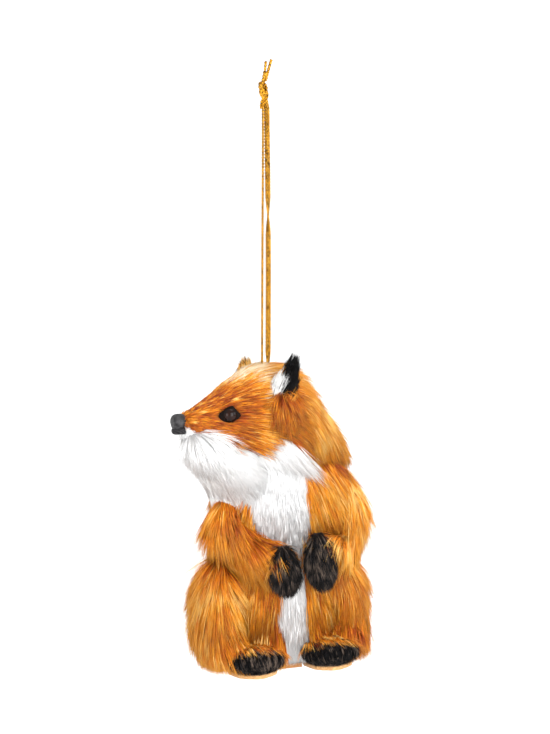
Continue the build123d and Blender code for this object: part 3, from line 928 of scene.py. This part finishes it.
def in_belly(places):
    """A strip down the middle, a little wider between the seams of the chest."""
    side, back, rise = in_body(places)
    chest = np.clip((rise - 36) / 10, 0, 1)
    waist = np.exp(-(((rise - 18) / 6) ** 2))
    low = -belly_half - 4.5 * chest - 2 * waist
    high = belly_half - 2.2 + 2.6 * chest
    return (back < flank_back) & (side > low) & (side < high)


def in_back(places):
    return in_body(places)[1] >= flank_back


body_hidden = [*arms.values(), *haunches.values()]
fur("belly_pile", "belly_fur", "white_fur", belly_form, body_lay, density=13, length=8,
    lift=0.18, width=0.2, tone=0.78, seed=101, belongs=in_belly, hidden=body_hidden,
    hem=hem_height, pull=0.3, waver=0.05, edge=0.2, spread=0.5)
for side, sign in signs.items():
    fur(f"flank_pile_{side}", f"flank_fur_{side}", "orange_fur", torso, body_lay, density=9.1,
        length=12, lift=low_lift, width=0.22, tone=0.5, seed=102 + sign, hidden=body_hidden,
        hem=hem_height, edge=0.2, hang=lambda roots: 0.5 * (in_body(roots["place"])[2] < 13),
        belongs=lambda places: ~in_back(places) & ~in_belly(places)
        & (sign * in_body(places)[0] > 0))
fur("back_pile", "back_fur", "orange_fur", torso, body_lay, density=5.4, length=12, lift=0.22,
    width=0.24, tone=0.5, seed=105, belongs=in_back, hidden=body_hidden, hem=hem_height)


# Arms. Stuffed tubes of the same orange fur, sewn on at the shoulders; the hair follows the
# arm and hangs off it, over the tops of the black paws.
def arm_lay(roots):
    """Along the arm and down."""
    shoulder = np.clip(1.2 - roots["step"], 0, 1)[:, None]
    inward = to_left * -0.3 * np.sign((roots["place"] - seat) @ to_left)[:, None]
    return roots["ahead"] * 0.6 - upright * 0.9 + inward + roots["normal"] * shoulder * 0.5


def stepped(steps, values):
    """A size for fur that changes from ring to ring of its form."""
    return lambda roots: np.interp(roots["step"], steps, values)


arm_tone = {"right": 0.46, "left": 0.64}
for side, rings in arms.items():
    fur(f"arm_pile_{side}", f"arm_fur_{side}", "orange_fur", rings, arm_lay, density=13,
        length=stepped((0, 1.5, 4), (11, 14, 7.5)), lift=0.22, width=0.22, tone=arm_tone[side],
        seed=110 + len(side), droop=0.3, hang=0.8)

# Paws. Black, shorter fur over small stuffed mitts that hang from the wrists.
paw_long, paw_half_wide, paw_half_deep = 12.5, 4.4, 3.6
paw_places = {"right": (-0.2, -1.12, 0.615), "left": (0.25, -1.12, 0.66)}
paw_shares = [
    (0.0, 0, -0.1, 0.38, 0.44),
    (0.3, 0, 0.0, 0.88, 0.92),
    (0.72, 0, 0.1, 1.04, 1.0),
    (1.0, 0, 0.2, 0.66, 0.62),
]
paw_skin = 0.9
paw_cut = {"right": 0.84, "left": 1}
paw_axes = (to_left, np.cross(-upright, to_left), -upright)


def paw_lay(roots):
    """Down the paw to its toes."""
    return -upright + roots["normal"] * 0.1


def nowhere(places):
    """No hide at all, for hair that grows out of another piece's."""
    return np.zeros(len(places), bool)


for side, place in paw_places.items():
    rings = stuffed(on_seat(*place), paw_axes, paw_long * paw_cut[side], paw_half_wide,
                    paw_half_deep, paw_shares, paw_skin, 1, (0.04, 0.06))
    outer = to_left * signs[side]
    fur(f"paw_pile_{side}", f"paw_{side}", "black_fur", rings, paw_lay, density=16, length=4.6,
        lift=0.34, width=0.2, tone=0.5, seed=120 + len(side), spread=1.7, lock=1.0, waver=0.2,
        palest=0.95, belongs=lambda places: (places - rings[1, 0]) @ upright < 0.6)
    fur(f"paw_cuff_{side}", f"arm_fur_{side}", "orange_fur", rings,
        lambda roots: -upright - outer * 0.6, density=12, length=7.5, lift=0.25, width=0.2,
        tone=0.5, seed=126 + len(side), hide_belongs=nowhere, lock=0.9, spread=1.3,
        belongs=lambda places: ((places - rings[1, 0]) @ (upright * 0.5 + outer) > 1.5)
        & ((places - rings[2, 0]) @ upright > -1))


# Haunches. The sides' orange fur bulges over the stuffed thighs and falls in a fringe over
# the feet.
def haunch_lay(roots):
    """Down, and forwards over the feet."""
    side, back, rise = in_body(roots["place"])
    facing = np.clip(-roots["normal"] @ to_back, 0, 1)
    ahead = 0.15 + 0.9 * np.clip((16 - rise) / 8, 0, 1) * facing
    return -upright - to_back * ahead[:, None] - to_left * (0.012 * side)[:, None]


def graded(measure, part, places, values):
    """A size for fur that changes along one part of a measure of its roots."""
    return lambda roots: np.interp(measure(roots["place"])[part], places, values)


haunch_tone = {"right": 0.55, "left": 0.46}
for side, rings in haunches.items():
    fur(f"haunch_pile_{side}", f"haunch_fur_{side}", "orange_fur", rings, haunch_lay,
        density=9.8, length=12, lift=low_lift, width=0.22, tone=haunch_tone[side],
        seed=130 + len(side), hidden=[*arms.values(), torso], hem=0.5,
        hang=graded(in_body, 2, (9, 16, 24), (0.5, 0.4, 0)))

# Feet and soles. Black toes look out under the fringe; under each is a tan hide sole with a
# soft, slightly wavy edge.
foot_long, foot_half_wide, foot_half_tall = 17, 8, 4.2
foot_places = {"right": (-0.609, -1.25), "left": (0.33, -1.25)}
foot_shares = [
    (0.0, 0, 0, 0.42, 0.44),
    (0.16, 0, 0, 0.88, 0.86),
    (0.5, 0, 0, 1.0, 1.0),
    (1.0, 0, 0, 0.86, 0.9),
]
foot_skin, fringe_skin = 0.8, 0.5


def foot_lay(roots):
    """Forwards over the toes and down."""
    return -to_back * 0.8 - upright * 0.5 + roots["normal"] * 0.1


def above_sole(places):
    return in_body(places)[2] > sole_thick


def above_toes(places):
    """Where the fringe over a foot is rooted: its top, less towards the toes."""
    side, back, rise = in_body(places)
    return rise > 6.1 + 0.5 * np.clip(-16 - back, 0, 9)


def fringe_lay(roots):
    """Down over the toes, forwards and a little across."""
    return -to_back * 0.75 - upright * 0.8 + to_left * 0.25


for side, place in foot_places.items():
    middle = on_seat(*place, 0) + upright * (sole_thick + foot_half_tall * 0.8)
    rings, fringe = (
        stuffed(middle, (to_left, -upright, to_back), foot_long, foot_half_wide, foot_half_tall,
                foot_shares, skin, 1, (0.05, 0))
        for skin in (foot_skin, fringe_skin)
    )
    fur(f"foot_pile_{side}", f"foot_{side}", "black_fur", rings, foot_lay, density=13, length=3.6,
        lift=0.3, width=0.2, tone=0.5, seed=140 + len(side), belongs=above_sole,
        hidden=[haunches[side], torso], spread=1.7, lock=1.0, hem=0.6, palest=1)
    fur(f"foot_fringe_{side}", f"haunch_fur_{side}", "orange_fur", fringe, fringe_lay, density=8,
        length=7.2, lift=0.24, width=0.2, tone=0.44, seed=145 + len(side), belongs=above_toes,
        hide_belongs=nowhere, hidden=[torso], lock=1.4, hem=1.2, spread=1.1, droop=0.5)

hide, sockets, nap, suede = grained(
    "tan hide", ("Noise", 2200, 4), (176, 122, 66), (222, 176, 118), bump=(0.0002, 0.6),
    Roughness=0.8, Sheen_Weight=0.2
)
blotch = nap.texture("Noise", 260, 2).clamped(0.4, 0.8) * 0.5
nap.fill(sockets["Base Color"], blotch.blend(suede, tint(150, 96, 44)))
sole_half_wide, sole_half_long, sole_wave = 6.7, 11, 0.03


def disc(root, half_wide, half_long, thick, wave, turns=96):
    """Places and triangles of a soft plate: ovals of a rounded edge, with a slow wave in
    its outline, closed at the middle above and below."""
    angle = np.arange(turns) * 2 * np.pi / turns
    size = np.array([tiny, 0.5, 0.93, 0.985, 1.0, 1.0, 0.985, 0.93, 0.5, tiny])
    rise = np.array([0, 0, 0, 0.06, 0.2, 0.8, 0.94, 1.0, 1.0, 1.0])
    out = 1 + wave * (np.sin(3 * angle + 0.7) + 0.6 * np.sin(7 * angle) + 0.3 * np.sin(17 * angle))
    rim = (
        root
        + to_left * (size[:, None] * half_wide * out * np.cos(angle))[..., None]
        + to_back * (half_long + size[:, None] * half_long * out * np.sin(angle))[..., None]
        + upright * (rise[:, None] * thick * np.ones(turns))[..., None]
    )
    return rim.reshape(-1, 3), grid_faces(len(size), turns)


for side, place in foot_places.items():
    plate = disc(on_seat(*place, 0), sole_half_wide, sole_half_long, sole_thick, sole_wave)
    put_mesh(f"hide_sole_{side}", *plate, [hide], "fox", "sole_hide", f"sole_{side}")

felt = grained("base cloth", ("Noise", 1600, 5), (150, 96, 50), (196, 140, 84),
               bump=(0.0002, 0.6), Roughness=0.9, Sheen_Weight=0.3)[0]
carry_over("base_felt", felt)

# Brush. A stuffed tube of the longest fur lies curled round behind the left haunch, with a
# white tip.
brush_radius, brush_skin = 7.5, 1.5
brush_shares = [
    (0.05, 1.02, 0.2, 0.56),
    (0.3, 1.2, 0.17, 0.84),
    (0.58, 1.2, 0.165, 1.0),
    (0.84, 1.05, 0.18, 0.84),
    (1.02, 0.84, 0.205, 0.52),
    (1.09, 0.7, 0.22, 0.22),
]
brush = limb(brush_shares, brush_radius, brush_skin)
brush_hidden = [torso, haunches["left"]]
tip_long = 5.0


def tail_lay(roots):
    """Along the brush to its tip."""
    return roots["ahead"] - upright * 0.12 + roots["normal"] * 0.1


def in_tip(places):
    """Past the last ring but one, less the tip's length."""
    return (places - brush[4, 0]) @ unit(brush[5, 0] - brush[3, 0]) > -tip_long


fur("tail_pile", "tail_fur", "orange_fur", brush, tail_lay, density=8.5,
    length=stepped((1, 4), (10, 4)), lift=0.22, width=0.24, tone=0.45, seed=151,
    belongs=lambda places: ~in_tip(places), hidden=brush_hidden, hem=hem_height)
fur("tail_tip_pile", "tail_tip", "white_fur", brush, tail_lay, density=13, length=4.5, lift=0.2,
    width=0.2, tone=0.5, seed=152, belongs=in_tip, hidden=brush_hidden, hem=hem_height, rings_up=3)

# Head. Short fur lies back from the nose over a foam head that looks over the fox's right
# shoulder: an orange mask and crown, white cheeks and jaw, and longer orange fur behind.
head_reach, head_half_wide, head_half_tall = 28, 16, 18
forward = np.array([-np.sin(yaw), -np.cos(yaw), 0])
sideways = np.array([np.cos(yaw), -np.sin(yaw), 0])
skull = bar - straight_up * (head_half_tall - 1.7)
head_shares = [
    (-0.8, 0, -0.4, 0.3, 0.24),
    (-0.67, 0, -0.33, 0.62, 0.57),
    (-0.44, 0, -0.16, 0.88, 0.86),
    (-0.18, 0, 0.0, 1.0, 1.0),
    (0.14, 0, 0.08, 0.91, 0.92),
    (0.39, 0, 0.11, 0.7, 0.7),
    (0.61, 0, 0.1, 0.49, 0.48),
    (0.79, 0, 0.09, 0.33, 0.32),
    (0.92, 0, 0.08, 0.22, 0.2),
]
head_axes = (sideways, straight_up, forward)
head_long = head_reach - 0.6
head_skin, jaw_skin = 1.1, 2.6
nape_skin = ((-0.75, -0.5, -0.2), (5.8, 4.8, 1.1))
head, jaw_form, nape_form = (
    stuffed(skull, head_axes, head_long, head_half_wide, head_half_tall, head_shares, skin, 1,
            (0.05, 0.03))
    for skin in (head_skin, jaw_skin, nape_skin)
)
nose_tip = skull + forward * 27.5 + straight_up * 3.4
# The mask's lower edge: forward places and the height of the edge there, in millimetres
mask_edge = (
    (-7, -5.8, -3.9, -0.6, 1.8, 4.0, 4.9, 6.1, 7.3, 9.3, 12.2, 14.1, 16.3, 18.5, 21.1, 24.0, 27),
    (-9.5, -7, -4.4, -1, 1.2, 2.6, 0.6, -1.8, -5.0, -4.1, -2.8, -3.6, -3.5, -2.4, -0.7, 1.4, 3.0),
)
nape_at = -6.0


def in_head(places):
    """Side, height and forward place of places on the head."""
    gap = places - skull
    return gap @ sideways, gap @ straight_up, gap @ forward


def in_nape(places):
    return in_head(places)[2] < nape_at


def in_jaw(places):
    side, rise, reach = in_head(places)
    return (reach >= nape_at) & (rise < np.interp(reach, *mask_edge))


def in_face(places):
    return ~in_nape(places) & ~in_jaw(places)


def head_lay(roots):
    """Back from the nose, then turning down round the back of the head."""
    side, rise, reach = in_head(roots["place"])
    away = unit(roots["place"] - nose_tip + straight_up * 0.5)
    down = np.clip((6 - reach) / 16, 0, 1)[:, None]
    return away * (1 - 0.75 * down) - straight_up * down * 0.95 + roots["normal"] * 0.05


def jaw_lay(roots):
    """Back from the nose and down, at about forty degrees."""
    reach = in_head(roots["place"])[2]
    down = np.interp(reach, (4, 14, 24), (0.85, 0.8, 0.35))[:, None]
    return -forward * np.where(reach < 4, 0.85, 0.62)[:, None] - straight_up * down


eye_shares = (0.475, 0.3, 0.507)
eye_turn = np.radians(25)
eye_rise = 0.22
# Half sizes of the ovals round an eye and round the nose that hairs keep out of
eye_clear, nose_clear = (2.9, 2.1, 3.0), (2.6, 2.4, 2.3)
eyes = {}
for side, sign in signs.items():
    look = unit(sideways * sign * np.cos(eye_turn) + forward * np.sin(eye_turn))
    centre = skull + sideways * sign * eye_shares[0] * head_half_wide
    centre = centre + straight_up * eye_shares[1] * head_half_tall
    eyes[side] = (centre + forward * eye_shares[2] * head_reach, look)


def towards(way, vector):
    """The vector, turned round if it points away from the way."""
    return vector * np.sign(vector @ way)


def clearing(centre, ways, halves):
    """An oval that hairs keep out of, as its centre and its ways over their half sizes."""
    return centre, np.stack(ways) / np.array(halves)[:, None]


def eye_clearing(side):
    """The oval round an eye, which rises towards the back of the head."""
    centre, look = eyes[side]
    slant = towards(-forward, unit(np.cross(straight_up, look)))
    long_way = unit(slant + straight_up * eye_rise)
    return clearing(centre + look * 1.6, (long_way, np.cross(look, long_way), look), eye_clear)


nose_clearing = clearing(nose_tip + forward * 0.5, (forward, sideways, straight_up), nose_clear)
head_clear = [eye_clearing("left"), eye_clearing("right"), nose_clearing]


def face_tone(roots):
    """Burnt orange on the mask, golden over the brow with a cream patch on the crown before
    the far ear, and a pale band in front of the near ear."""
    side, rise, reach = in_head(roots["place"])
    band = np.exp(-(((reach - 7.4 + 0.12 * (rise - 4)) / 1.4) ** 2)) * (rise > -3)
    patch = np.exp(-(((side + 2) / 4.5) ** 2) - ((reach - 10) / 3.4) ** 2) * (rise > 8)
    lower = np.exp(-(((rise + 1.5) / 2.2) ** 2))
    brow = np.clip((rise - 7) / 7, 0, 1)
    return 0.3 + 0.28 * brow + 0.4 * band + 0.62 * patch - 0.08 * lower


def face_pale(roots):
    """The palest hair: cream in the patch and the band only."""
    return np.where(face_tone(roots) > 0.72, 0.97, 0.84)


def jaw_tone(roots):
    """White, with some brown hairs along the back edge of the cheek."""
    edge = np.exp(-(((in_head(roots["place"])[2] + 4.5) / 2.5) ** 2))
    brown = np.random.default_rng(7).random(len(edge)) < 0.3 * edge
    return np.where(brown, 0.02, 0.65)


def nape_tone(roots):
    """Burnt below the ear, golden behind it and over the crown."""
    side, rise, reach = in_head(roots["place"])
    return 0.6 - 0.1 * np.exp(-(((rise + 9) / 5) ** 2)) + 0.08 * (rise > 4)


fur("face_pile", "face_fur", "orange_fur", head, head_lay, density=11.2,
    length=graded(in_head, 2, (-6, 4, 14, 25), (8.5, 7.5, 5, 2.4)), lift=0.13, width=0.17,
    tone=face_tone, seed=161, belongs=in_face, clear=head_clear, hidden=[torso], lock=0.9,
    pull=0.4, waver=0.06, stray=0.01, spread=1.1, palest=face_pale)
fur("jaw_pile", "jaw_fur", "white_fur", jaw_form, jaw_lay, density=14,
    length=graded(in_head, 2, (-6, 4, 9, 14, 25), (14, 15, 11, 5.5, 2)),
    lift=graded(in_head, 2, (0, 8, 20), (0.36, 0.14, 0.05)), width=0.16, tone=jaw_tone,
    seed=162, belongs=in_jaw, clear=[nose_clearing], hidden=[torso], lock=0.9, pull=0.3,
    droop=0.05, waver=0.06, spread=0.4, hang=graded(in_head, 2, (7, 14), (0.7, 0)))
fur("nape_pile", "nape_fur", "orange_fur", nape_form, head_lay, density=11.4,
    length=graded(in_head, 1, (-14, 4), (6, 12)),
    lift=graded(in_head, 1, (-14, 4), (0.04, 0.2)), width=0.22, tone=nape_tone, seed=163,
    belongs=in_nape, hidden=[torso], hang=0.2)

# Throat ruff. The longest white fur, from below the chin to the chest.
ruff_tall, ruff_half_long, ruff_half_wide = 24, 11.5, 12.5
ruff_shares = [
    (0.0, -0.13, 0, 0.35, 0.36),
    (0.1, -0.13, 0, 0.74, 0.76),
    (0.31, -0.09, 0, 0.91, 0.96),
    (0.6, 0.17, 0.02, 1.0, 0.98),
    (0.85, 0.6, 0.05, 0.87, 0.68),
    (1.0, 0.7, 0.05, 0.7, 0.46),
]
ruff_root = skull - straight_up * 1.305 * head_half_tall + forward * 0.357 * head_reach
ruff = stuffed(ruff_root, (forward, np.cross(straight_up, forward), straight_up), ruff_tall,
               ruff_half_long, ruff_half_wide, ruff_shares, jaw_skin, 1, (0.05, 0.02))


def ruff_lay(roots):
    """Down the throat and back, more so behind."""
    back = np.clip((10 - in_head(roots["place"])[2]) / 8, 0, 1)[:, None]
    return -forward * (0.5 + 0.5 * back) - straight_up * 0.8


fur("ruff_pile", "throat_ruff", "white_fur", ruff, ruff_lay, density=12.8, length=10,
    lift=graded(in_head, 2, (3, 12), (0.3, 0.1)), width=0.18, tone=0.6, seed=171,
    hidden=[jaw_form, torso], lock=1.0, pull=0.3, droop=0.05, waver=0.06, spread=0.6, hang=0.75)

# Ears. A leaf of hide each, black fur behind with a tuft at the tip, white fur inside.
ear_long, ear_half_wide, ear_half_thick = 16, 4.6, 2.4
ear_shares = [
    (0.0, 0, 0, 0.9, 1.0),
    (0.35, 0, 0, 1.0, 0.95),
    (0.7, 0, 0, 0.74, 0.66),
    (1.0, 0, 0, 0.3, 0.3),
]
ear_place = (0.625, 0.306, 0.054)
ear_rake = np.radians(20)
ear_splays = {"right": np.radians(30), "left": np.radians(13)}
ear_turns = {"right": np.radians(-30), "left": np.radians(32)}
ear_cut = {"right": 0.71, "left": 0.88}
ear_widen = {"right": 1.2, "left": 1}
ear_dark_from = {"right": 12.5, "left": 3.8}
ear_rim_from = {"right": 0.2, "left": 0.62}
ear_rim_tone = {"right": 0.95, "left": 0.7}
ear_lining_tone = {"right": 0.2, "left": 0.5}
ear_skin = 0.5
lobe_tall, lobe_half_long, lobe_half_deep = 11, 4.5, 3.2
lobe_place = (12.4, 11.6, -0.7)
lobe_shares = [
    (0.0, 0, 0, 0.5, 0.5),
    (0.25, 0, 0, 0.85, 0.85),
    (0.6, 0, 0, 1.0, 1.0),
    (0.85, 0, 0, 0.84, 0.8),
    (1.0, 0, 0, 0.5, 0.4),
]


def lobe_tone(roots):
    """Burnt orange, darkest at the lower end."""
    return 0.3 - 0.22 * np.clip((8 - in_head(roots["place"])[1]) / 6, 0, 1)


for side, sign in signs.items():
    away = sideways * sign
    rise = unit(straight_up + away * np.tan(ear_splays[side]) - forward * np.tan(ear_rake))
    opening = unit(away * np.sin(ear_turns[side]) + forward * np.cos(ear_turns[side]))
    leaf = unit(np.cross(opening, rise))
    front = np.cross(rise, leaf)
    root = skull + away * ear_place[0] * head_half_wide + forward * 1.0
    root = root + straight_up * ear_place[1] * head_half_tall + forward * ear_place[2] * head_reach
    rings = stuffed(root, (leaf, front, rise), ear_long * ear_cut[side],
                    ear_half_wide * ear_widen[side], ear_half_thick, ear_shares, ear_skin, 1,
                    (0, 0.03))
    lobe_root = skull + away * lobe_place[0] + straight_up * lobe_place[1]
    lobe = stuffed(lobe_root + forward * lobe_place[2], (forward, away, -straight_up), lobe_tall,
                   lobe_half_long, lobe_half_deep, lobe_shares, 0, 1, (0.05, 0.05))
    rearward = towards(-forward, leaf)

    def in_ear(places):
        """Rearward, frontward and upward place on this ear."""
        gap = places - root
        return gap @ rearward, gap @ front, gap @ rise

    def lining(places):
        """The front of the leaf, but for its rear third, its root and its tip."""
        rear, ahead, up = in_ear(places)
        top = 0.74 * ear_long * ear_cut[side]
        return (ahead > 0.1) & (rear < 1.3 - 0.12 * (up - 8)) & (up > 2.8 + 0.4 * rear) & (up < top)

    def gold_rim(places):
        """The leaf's front edge and the lower part of its back."""
        rear, ahead, up = in_ear(places)
        half = np.interp(up, (0, 5, 10, 15), (4.2, 4.2, 2.8, 0.6))
        at_root = up < ear_dark_from[side] - 1.2 + 0.9 * np.abs(rear - 0.6)
        in_front = (rear < 0.4 - ear_rim_from[side] * half) & (up < 12)
        return ~lining(places) & (at_root | in_front)

    def ear_lay(roots):
        return rise

    fur(f"ear_pile_{side}", f"ear_{side}", "black_fur", rings, ear_lay, density=22, length=4.6,
        lift=0.3, width=0.17, tone=0.4, seed=180 + sign, droop=-0.1, edge=0.6,
        belongs=lambda places: ~lining(places) & ~gold_rim(places))
    fur(f"ear_rim_{side}", f"ear_{side}", "orange_fur", rings, ear_lay, density=20, length=4,
        lift=0.2, width=0.17, tone=ear_rim_tone[side], seed=188 + sign, belongs=gold_rim,
        hidden=[head], lock=0.8)
    fur(f"ear_lining_pile_{side}", f"ear_lining_{side}", "white_fur", rings, ear_lay, density=24,
        length=3.6, lift=0.16, width=0.15, tone=ear_lining_tone[side], seed=184 + sign,
        belongs=lining, droop=-0.1, spread=0.5)
    fur(f"ear_lobe_{side}", f"ear_{side}", "orange_fur", lobe,
        lambda roots: -straight_up - forward * 0.18, density=14, length=6.5, lift=0.22,
        width=0.17, tone=lobe_tone, seed=192 + sign, hidden=[head], lock=0.8)

# Eyes. Glossy dark glass beads, each in an almond of dark skin that is cut to a point in
# front, behind and above: degrees round it from behind the eye, and how far it reaches.
eye_outline = (
    (0, 30, 55, 72, 88, 110, 140, 165, 185, 205, 235, 270, 305, 335, 360),
    (3.0, 2.3, 2.35, 2.8, 2.6, 2.25, 2.2, 2.9, 3.4, 2.9, 2.3, 2.1, 2.3, 2.8, 3.0),
)
eye_radius, eye_sink, lid_rise = 2.3, 0.45, 0.45
glass = grained("bead glass", ("Noise", 420, 2), (5, 4, 4), (40, 18, 10), (0.35, 0.75),
                Roughness=0.04, Specular_IOR_Level=0.16)[0]
lid_skin = grained("dark lid", ("Noise", 3000, 3), (4, 3, 3), (26, 15, 10), (0.3, 0.8),
                   Roughness=0.5, Specular_IOR_Level=0.05)[0]
polar = np.linspace(tiny, np.pi - tiny, 40)[:, None]
eye_turns = 64
angle = np.arange(eye_turns) * 2 * np.pi / eye_turns
# A lid is a low dome in front and a flatter one behind, each closed at its middle
lid_share = np.append(np.linspace(tiny, 1, 16), np.linspace(0.98, tiny, 8))[:, None]
lid_wide = np.interp(np.degrees(angle), *eye_outline) * lid_share
lid_level = np.repeat([1.0, -0.6], (16, 8))[:, None] * (0.7 - 0.35 * lid_share**2) + lid_rise
ball, lid = (
    np.stack(np.broadcast_arrays(wide * np.cos(angle), wide * np.sin(angle), level), -1)
    for wide, level in ((np.sin(polar), np.cos(polar)), (lid_wide, lid_level))
)

for side, (centre, look) in eyes.items():
    back_way = towards(-forward, unit(np.cross(straight_up, look)))
    rise_way = towards(straight_up, np.cross(look, back_way))
    ways = np.stack([back_way, rise_way, look])
    places = (centre - look * eye_sink + ball @ ways * eye_radius).reshape(-1, 3)
    put_mesh(f"bead_eye_{side}", places, outward(places, grid_faces(len(polar), eye_turns)),
             [glass], "fox", "bead_glass", f"eye_{side}")
    places = (centre + lid @ ways).reshape(-1, 3)
    put_mesh(f"lid_rim_{side}", places, outward(places, grid_faces(len(lid), eye_turns)),
             [lid_skin], "fox", "dark_fur", f"eyelid_{side}")

# Nose and mouth. A small black moulded nose, pebbled and mottled with grey as painted
# sheen, with two nostrils, and a short line of black thread below it.
nose_half_wide, nose_half_tall, nose_long, nose_sink = 2.4, 2.3, 3.5, 0.8
nose_shares = [
    (0.0, 0, 0.0, 0.86, 0.9),
    (0.45, 0, 0.0, 1.0, 1.06),
    (0.82, 0, 0.0, 0.96, 0.98),
    (1.0, 0, 0.05, 0.66, 0.62),
]
nose_root = skull + straight_up * (0.145 * head_half_tall + 0.45)
nose_root = nose_root + forward * (0.92 * head_reach - nose_sink)
rings = stuffed(nose_root, head_axes, nose_long, nose_half_wide, nose_half_tall, nose_shares, 0, 1,
                (0.02, 0.03))
nose_grid = (60, 72)
nostril_step, nostril_long, nostril_wide, nostril_deep = 3.3, 0.5, 0.32, 0.42
nostril_angles = (-0.5, np.pi + 0.5)
s, angle, grid = form_grid(rings, *nose_grid)
fold = np.exp(-((s - nostril_step) / nostril_long) ** 2)
nostril = sum(
    np.exp(-(((angle - at + np.pi) % (2 * np.pi) - np.pi) / nostril_wide) ** 2)
    for at in nostril_angles
)
ring_middle = ring_at(rings, s)[..., 0, :]
places = grid + (ring_middle - grid) * (nostril_deep * fold * nostril)[..., None]
places = places.reshape(-1, 3)
# The grey in the nose's mottle is painted sheen.
nose_skin, sockets, sheen_mottle, _ = grained("moulded nose", ("Noise", 700, 2), (16, 15, 17),
                                        (60, 58, 60), (0.35, 0.75), Specular_IOR_Level=0.35)
pebble = sheen_mottle.texture("Voronoi", 2200)
sheen_mottle.fill(sockets["Roughness"], 0.34 + pebble.clamped(0, 1) * 0.25)
sheen_mottle.fill(sockets["Normal"], pebble.bump(0.0002, 0.5))
put_mesh("moulded_nose", places, outward(places, grid_faces(*nose_grid)), [nose_skin],
         "fox", "nose_plastic", "nose")

diagonal = ("Wave", 900, None, None, {"bands_direction": "DIAGONAL"})
thread = grained("black thread", diagonal, (14, 13, 14), (52, 50, 52), (0, 1), Roughness=0.6,
                 Specular_IOR_Level=0.15)[0]
# Forward, upward and sideways places of the thread's points on the head
mouth_places = [(25.4, 0.9, 2.3), (26.6, 0.9, 2.0), (28.0, 0.5, 0), (26.6, 0.9, -2.0), (25.4, 0.9, -2.3)]
mouth_thick, mouth_step = 1.9, 0.15
mouth_points = [skull + forward * ahead + straight_up * up + sideways * side
                for ahead, up, side in mouth_places]
line = route_line(mouth_points, mouth_step)
put_mesh("mouth_thread", *tube(line, np.full(len(line), yaw), mouth_thick, mouth_thick), [thread],
         "fox", "black_thread", "mouth_line")
